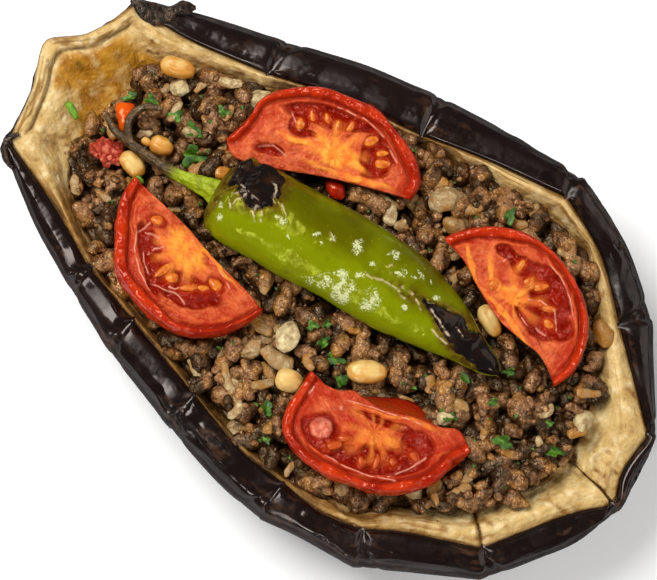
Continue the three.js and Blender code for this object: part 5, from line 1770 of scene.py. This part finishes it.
def leaf(size, yaw, pitch, draw):
    """A chopped leaf: a lobed outline whose reach is the size times 0.74 and three cosines of the turn,
    folded along its vein and crinkled, with a thickness."""
    turn = np.arange(LEAF_AROUND) / LEAF_AROUND * TAU
    phase = draw.uniform(0, TAU, 3)
    reach = 0.74 + 0.2 * np.cos(3 * turn + phase[0]) + 0.14 * np.cos(5 * turn + phase[1])
    reach = reach + 0.07 * np.cos(11 * turn + phase[2])
    share = np.linspace(0, 1, LEAF_RINGS + 1)[1:, None]
    x, y = share * reach * np.cos(turn) * size * 1.15, share * reach * np.sin(turn) * size * 0.85
    fold = draw.uniform(0.25, 0.8)
    curl = draw.uniform(-0.16, 0.1) / size
    flat = np.stack([x, y, np.full_like(x, phase[0] * 9)], -1)
    z = fold * np.abs(y) + curl * x**2 + 0.34 * size * rolling(flat, 0.45 * size, 19) * share
    top = np.stack([x, y, z], -1)
    body = np.concatenate([top, (top - [0, 0, LEAF_THICKNESS])[::-1]])
    points = np.vstack([[0, 0, 0], body.reshape(-1, 3), [0, 0, -LEAF_THICKNESS]])
    return points @ (yawed(yaw) @ tilted(pitch)).T


def leaf_faces():
    """One leaf's quads and triangles, wound to face outwards from the upper pole to the lower one."""
    points, faces = capped_rings([0, 0, 0], np.zeros((2 * LEAF_RINGS, LEAF_AROUND, 3)), [0, 0, 0])
    return [face[::-1] for face in faces], len(points)


def curled_sheet(rows, seed):
    """A folded scrap of red pepper or of herb: an upright-sectioned flat tube, roughened a little."""
    rings, _ = tube_rings(open_run(rows, 12), 36)
    return closed_tube(rings + outwards(rings) * (0.2 * layered(rings, 1.8, 2, seed))[..., None])


# Two red pieces, a triangle cut from a pepper and a drop, as x, y, z, half width and half height.
RED_PIECES = {
    "red_dice_1": [(-65.2, -1.4, 35.5, 0.5, 0.7), (-65.9, 0.0, 35.9, 1.2, 1.1), (-67.0, 1.9, 36.1, 2.0, 1.2),
                   (-68.2, 3.7, 35.9, 2.6, 1.1), (-68.9, 4.8, 35.5, 2.2, 0.8)],
    "red_dice_3": [(-15.2, 18.8, 38.2, 0.6, 0.7), (-13.9, 18.5, 38.5, 1.6, 1.4),
                   (-12.0, 18.1, 38.6, 2.2, 1.7), (-10.4, 17.7, 38.4, 1.7, 1.4),
                   (-9.2, 17.4, 38.2, 0.7, 0.7)],
}
# A ring of chive and a curl of herb, in the same way. The curl leans on a pine nut.
CHIVES = {
    "chive_ring": [(-80.6, -4.4, 37.5, 0.7, 0.7), (-79.3, -4.7, 38.1, 0.95, 0.9),
                   (-77.6, -5.3, 38.1, 0.95, 0.9), (-76.0, -6.0, 37.5, 0.8, 0.8)],
    "herb_curl": [(-54.9, -10.2, 37.8, 0.35, 0.6), (-54.1, -9.2, 38.4, 0.45, 0.7),
                  (-52.9, -9.0, 38.5, 0.45, 0.7), (-52.1, -9.6, 38.0, 0.35, 0.5)],
}


def all_filled(count, value):
    return {"tone": np.full(count, value)}


class EGGPLANT_OT_garnish(bpy.types.Operator):
    """Makes the pine nuts, the red pepper, the onion and the chopped herbs"""

    bl_idname = "eggplant.garnish"
    bl_label = "Garnish"

    def execute(self, context):
        garnish = context.scene.garnish
        mince = [piece for piece in bpy.data.objects if piece.name.startswith("mince_")]
        self.ground = Ground(mince)
        self.toppings = Toppings()
        self.nuts(garnish)
        self.reds(garnish)
        self.onion(garnish)
        self.herbs(garnish)
        return {"FINISHED"}

    def nuts(self, garnish):
        cream, roast = garnish.nut, (0.46, 0.145, 0.012)
        stops = [(0.0, (0.66, 0.43, 0.14)), (1.0, roast), (0.4, cream)]
        material = garnish_material("Pine nut", 0.003, stops, (0.42, 0.26), 0.00004, tint=(1, 0.9, 0.7))
        for name, *size, toasting in KERNELS:
            points, triangles = kernel(*size)
            ends = np.clip((points[:, 0] - size[0]) / size[3], -1, 1)
            # Painted shade: a nut is darker towards its bottom and paler on top; its narrow end is more
            # toasted.
            tone = toasting + 0.35 * ends**2 * (ends > 0) - 0.1 * (points[:, 2] - size[2])
            marks = {"tone": np.clip(tone, 0, 1)}
            nodes = [name] if name in frame["nodes"] else []
            add_piece(name + "_kernel", points, triangles, material, "pine_nut", nodes, marks)

    def reds(self, garnish):
        stops = [(0.0, (0.24, 0.006, 0.001)), (1.0, (0.66, 0.085, 0.002)), (0.5, garnish.red_pepper)]
        material = garnish_material("Red pepper", 0.004, stops, (0.4, 0.18), 0.00005, tint=(1, 0.6, 0.4))
        stops = [(0.0, (0.22, 0.012, 0.006)), (1.0, (0.60, 0.17, 0.10)), (0.5, (0.46, 0.045, 0.022))]
        tint = (1, 0.7, 0.5)
        grainy = garnish_material("Chopped tomato", 0.0012, stops, (0.4, 0.15), 0.0002, tint=tint)
        for name, tone in (("red_dice_1", 0.85), ("red_dice_3", 0.25)):
            points, faces = curled_sheet(RED_PIECES[name], 23)
            marks = all_filled(len(points), tone)
            add_piece(name + "_piece", points, faces, material, "red_pepper", [name], marks)
        points, triangles = lump(-64.4, -8.1, 36.2, 3.3, 2.9, 2.2, 30, 29, 5, 0.9)
        grains, numbers = pebbled(points, 1.1, 31)
        points[:, 2] += 0.5 * grains
        tone = numbers * smoothstep(grains, 0.2, 0.7)
        add_piece("red_dice_2_piece", points, triangles, grainy, "red_pepper", ["red_dice_2"], {"tone": tone})

    def onion(self, garnish):
        """Bent slices and lumps listed one by one, and small scattered scraps, all lying on the mince."""
        draw = np.random.default_rng(31)
        soft = garnish.onion
        stops = [(0.0, (0.60, 0.48, 0.25)), (1.0, (0.34, 0.14, 0.016)), (0.42, soft)]
        material = garnish_material("Cooked onion", 0.002, stops, (0.32, 0.12), 0.00015, 0.5, (1, 0.9, 0.72),
                                    **soft_glow((1, 0.85, 0.6)))
        placed_by_hand = np.array(ONION_SLICES)
        x, y = scattered(Outline(), 9.0, 1.0, draw)
        open_sky = np.array([self.toppings.room(*p, 1.5)[1] == 0 for p in zip(x, y)])
        x, y = x[open_sky], y[open_sky]
        count = len(x)
        drawn = [draw.uniform(*ends, count) for ends in SCRAP_RANGES]
        table = np.vstack([placed_by_hand, np.column_stack([x, y, *drawn])])
        height = np.array([self.ground.height(*p) for p in table[:, :2]])
        rows = np.column_stack([table[:, :2], height - 0.1, table[:, 2:4], 0.42 * table[:, 3]])
        heading, bend = np.radians(table[:, 4:6]).T
        pitch = draw.uniform(-0.2, 0.2, len(rows))
        made = strands(rows, heading, bend, pitch, (18, 14), (0.3, 0.25, 1.7), 0.2)
        points, numbers, quads, triangles = made
        faces = strand_faces(points, quads, triangles)
        tone = draw.uniform(0.35, 1.0, len(rows))[:, None] + 0.4 * (numbers - 0.5)
        marks = {"tone": tone.ravel()}
        add_piece("onion_slices", points.reshape(-1, 3), faces, material, "onion", (), marks)
        shapes, tones = [], []
        for seed, (x, y, *half, yaw, toasting) in enumerate(PALE_LUMPS):
            points, triangles = lump(x, y, self.ground.height(x, y) + 0.25 * half[2], *half, yaw, 60 + seed)
            shapes.append(points)
            tones.append(toasting + 0.25 * layered(points, 2.0, 2, 37))
        marks = {"tone": np.clip(np.array(tones), 0, 1).ravel()}
        add_piece("onion_lumps", *joined(np.array(shapes), triangles), material, "onion", (), marks)

    def herbs(self, garnish):
        """Chopped leaves and flecks lying on the mince, a ring of chive and a curl of herb."""
        draw = np.random.default_rng(47)
        dark, light = scaled(garnish.parsley, 0.35, 0.4, 0.6), scaled(garnish.parsley, 3.4, 2.5, 3)
        stops = [(0.0, dark[:3]), (1.0, light[:3]), (0.5, garnish.parsley)]
        material = garnish_material("Parsley", 0.0012, stops, (0.45, 0.25), 0.0001, 0.4)
        x, y = scattered(Outline(), 9.0, 2.0, draw)
        places = [place for place in zip(x, y) if self.toppings.room(*place, 1)[1] == 0]
        flecks = [(*place, draw.uniform(0.35, 0.7), draw.uniform(0, 360)) for place in places]
        faces, size = leaf_faces()
        shapes, tones = [], []
        for x, y, reach, yaw in [*PARSLEY, *flecks]:
            shape = leaf(reach, yaw, draw.uniform(-35, 35), draw)
            ground = max(self.ground.height(x + dx, y) for dx in (-0.3 * reach, 0, 0.3 * reach))
            resting = shape + [x, y, ground + 0.25 * reach]
            air = min(z - self.ground.height(px, py) for px, py, z in resting)
            shapes.append(resting - [0, 0, max(0.0, air + LEAF_SINK)])
            # Painted light: the higher parts of a leaf are lighter.
            tones.append(0.42 + 0.5 * rolling(shape, 0.6 * reach, 7) + 0.4 * shape[:, 2] / reach)
        shapes = np.array(shapes)
        every = [[i + size * n for i in face] for n in range(len(shapes)) for face in faces]
        marks = {"tone": np.clip(np.array(tones), 0, 1).ravel()}
        add_piece("parsley_leaves", shapes.reshape(-1, 3), every, material, "parsley", (), marks)
        for (name, rows), tone in zip(CHIVES.items(), (0.95, 1.0)):
            points, faces = curled_sheet(rows, 41)
            add_piece(name, points, faces, material, "parsley", (), all_filled(len(points), tone))


# ---------------------------------------------------------------- the stage
CAMERA_AZIMUTH = 36.6
CAMERA_ELEVATION = 80.0
CAMERA_DISTANCE = 0.4735
CAMERA_LENS = 100.0
CAMERA_AIM = (0.0, 0.0, 0.020)
CAMERA_SHIFT = (-0.00067, -0.00064)  # metres to the right and up, in the camera's own directions
FLOOR_REACH = 1.5
FLOOR_DROP = 0.0002
# Lamps: name, metres to the right, up and back from the aim, size, and power as a share of the key light's.
LAMPS = [
    ("key", -0.28, 0.36, 0.66, 0.35, 1.0),
    ("fill", 0.6, 0.1, 0.5, 0.6, 0.35),
    ("window", -0.34, -0.5, 0.55, 0.22, 0.4),
]


def camera_axes(azimuth, elevation):
    """Right, up and backward directions of a camera that looks along +Y at azimuth 0 and down at elevation
    90."""
    a, e = np.radians(azimuth), np.radians(elevation)
    back = Vector((np.sin(a) * np.cos(e), -np.cos(a) * np.cos(e), np.sin(e)))
    right = Vector((np.cos(a), np.sin(a), 0))
    return right, back.cross(right), back


def add_lamp(name, place, aim, size, power):
    """A square area lamp at a place, facing an aim."""
    lamp = bpy.data.lights.new(name, "AREA")
    lamp.shape = "SQUARE"
    lamp.size = size
    lamp.energy = power
    holder = add_object(name, lamp)
    holder.location = place
    holder.rotation_euler = (Vector(place) - Vector(aim)).to_track_quat("Z", "Y").to_euler()


class EGGPLANT_OT_stage(bpy.types.Operator):
    """Makes the camera, the pale floor and the soft lamps"""

    bl_idname = "eggplant.stage"
    bl_label = "Stage"

    def execute(self, context):
        stage = context.scene.stage
        right, up, back = camera_axes(CAMERA_AZIMUTH, CAMERA_ELEVATION)
        aim = Vector(CAMERA_AIM) + right * CAMERA_SHIFT[0] + up * CAMERA_SHIFT[1]
        camera = bpy.data.cameras.new("camera")
        camera.lens = CAMERA_LENS
        camera.sensor_width = 36.0
        camera.clip_start = 0.01
        holder = add_object("camera", camera)
        axes = Matrix((right, up, back)).transposed().to_4x4()
        holder.matrix_world = Matrix.Translation(aim + back * CAMERA_DISTANCE) @ axes
        context.scene.camera = holder
        self.floor(stage)
        for name, aside, above, away, size, share in LAMPS:
            add_lamp(name, aim + right * aside + up * above + back * away, aim, size, stage.key_power * share)
        world = bpy.data.worlds.new("studio")
        world.use_nodes = True
        sky = world.node_tree.nodes["Background"].inputs
        sky["Color"].default_value = (1, 0.97, 0.92, 1)
        sky["Strength"].default_value = 0.22
        context.scene.world = world
        context.scene.view_settings.view_transform = "Standard"
        return {"FINISHED"}

    def floor(self, stage):
        """A flat square, whose middle lies just under the foot."""
        corners = np.array([[-1, -1, 0], [1, -1, 0], [1, 1, 0], [-1, 1, 0]]) * FLOOR_REACH
        material = new_material("Floor", Roughness=0.9, Base_Color=opaque(stage.floor))[0]
        mesh = bpy.data.meshes.new("floor")
        mesh.from_pydata(corners - [0, 0, FLOOR_DROP], [], [[0, 1, 2, 3]])
        mesh.materials.append(material)
        add_object("floor", mesh)


# ---------------------------------------------------------------- the add-on
OPERATORS = [
    EGGPLANT_OT_stage,
    EGGPLANT_OT_boat,
    EGGPLANT_OT_mince,
    EGGPLANT_OT_tomatoes,
    EGGPLANT_OT_pepper,
    EGGPLANT_OT_garnish,
]


class EGGPLANT_PT_panel(bpy.types.Panel):
    """Lists the pieces in the order in which they are made"""

    bl_idname = "EGGPLANT_PT_panel"
    bl_label = "Stuffed eggplant"
    bl_space_type = "VIEW_3D"
    bl_region_type = "UI"
    bl_category = "Eggplant"

    def draw(self, context):
        for operator in OPERATORS:
            self.layout.operator(operator.bl_idname)
        for name, group in SETTINGS.items():
            column = self.layout.column(heading=name.capitalize())
            for key in group.__annotations__:
                column.prop(getattr(context.scene, name), key)


def register():
    for group in SETTINGS.values():
        bpy.utils.register_class(group)
    for name, group in SETTINGS.items():
        setattr(bpy.types.Scene, name, PointerProperty(type=group))
    for operator in OPERATORS:
        bpy.utils.register_class(operator)
    bpy.utils.register_class(EGGPLANT_PT_panel)


def unregister():
    bpy.utils.unregister_class(EGGPLANT_PT_panel)
    for operator in reversed(OPERATORS):
        bpy.utils.unregister_class(operator)
    for name, group in SETTINGS.items():
        delattr(bpy.types.Scene, name)
        bpy.utils.unregister_class(group)


def main():
    register()
    for operator in OPERATORS:
        section, action = operator.bl_idname.split(".")
        getattr(getattr(bpy.ops, section), action)()


if __name__ == "__main__":
    main()
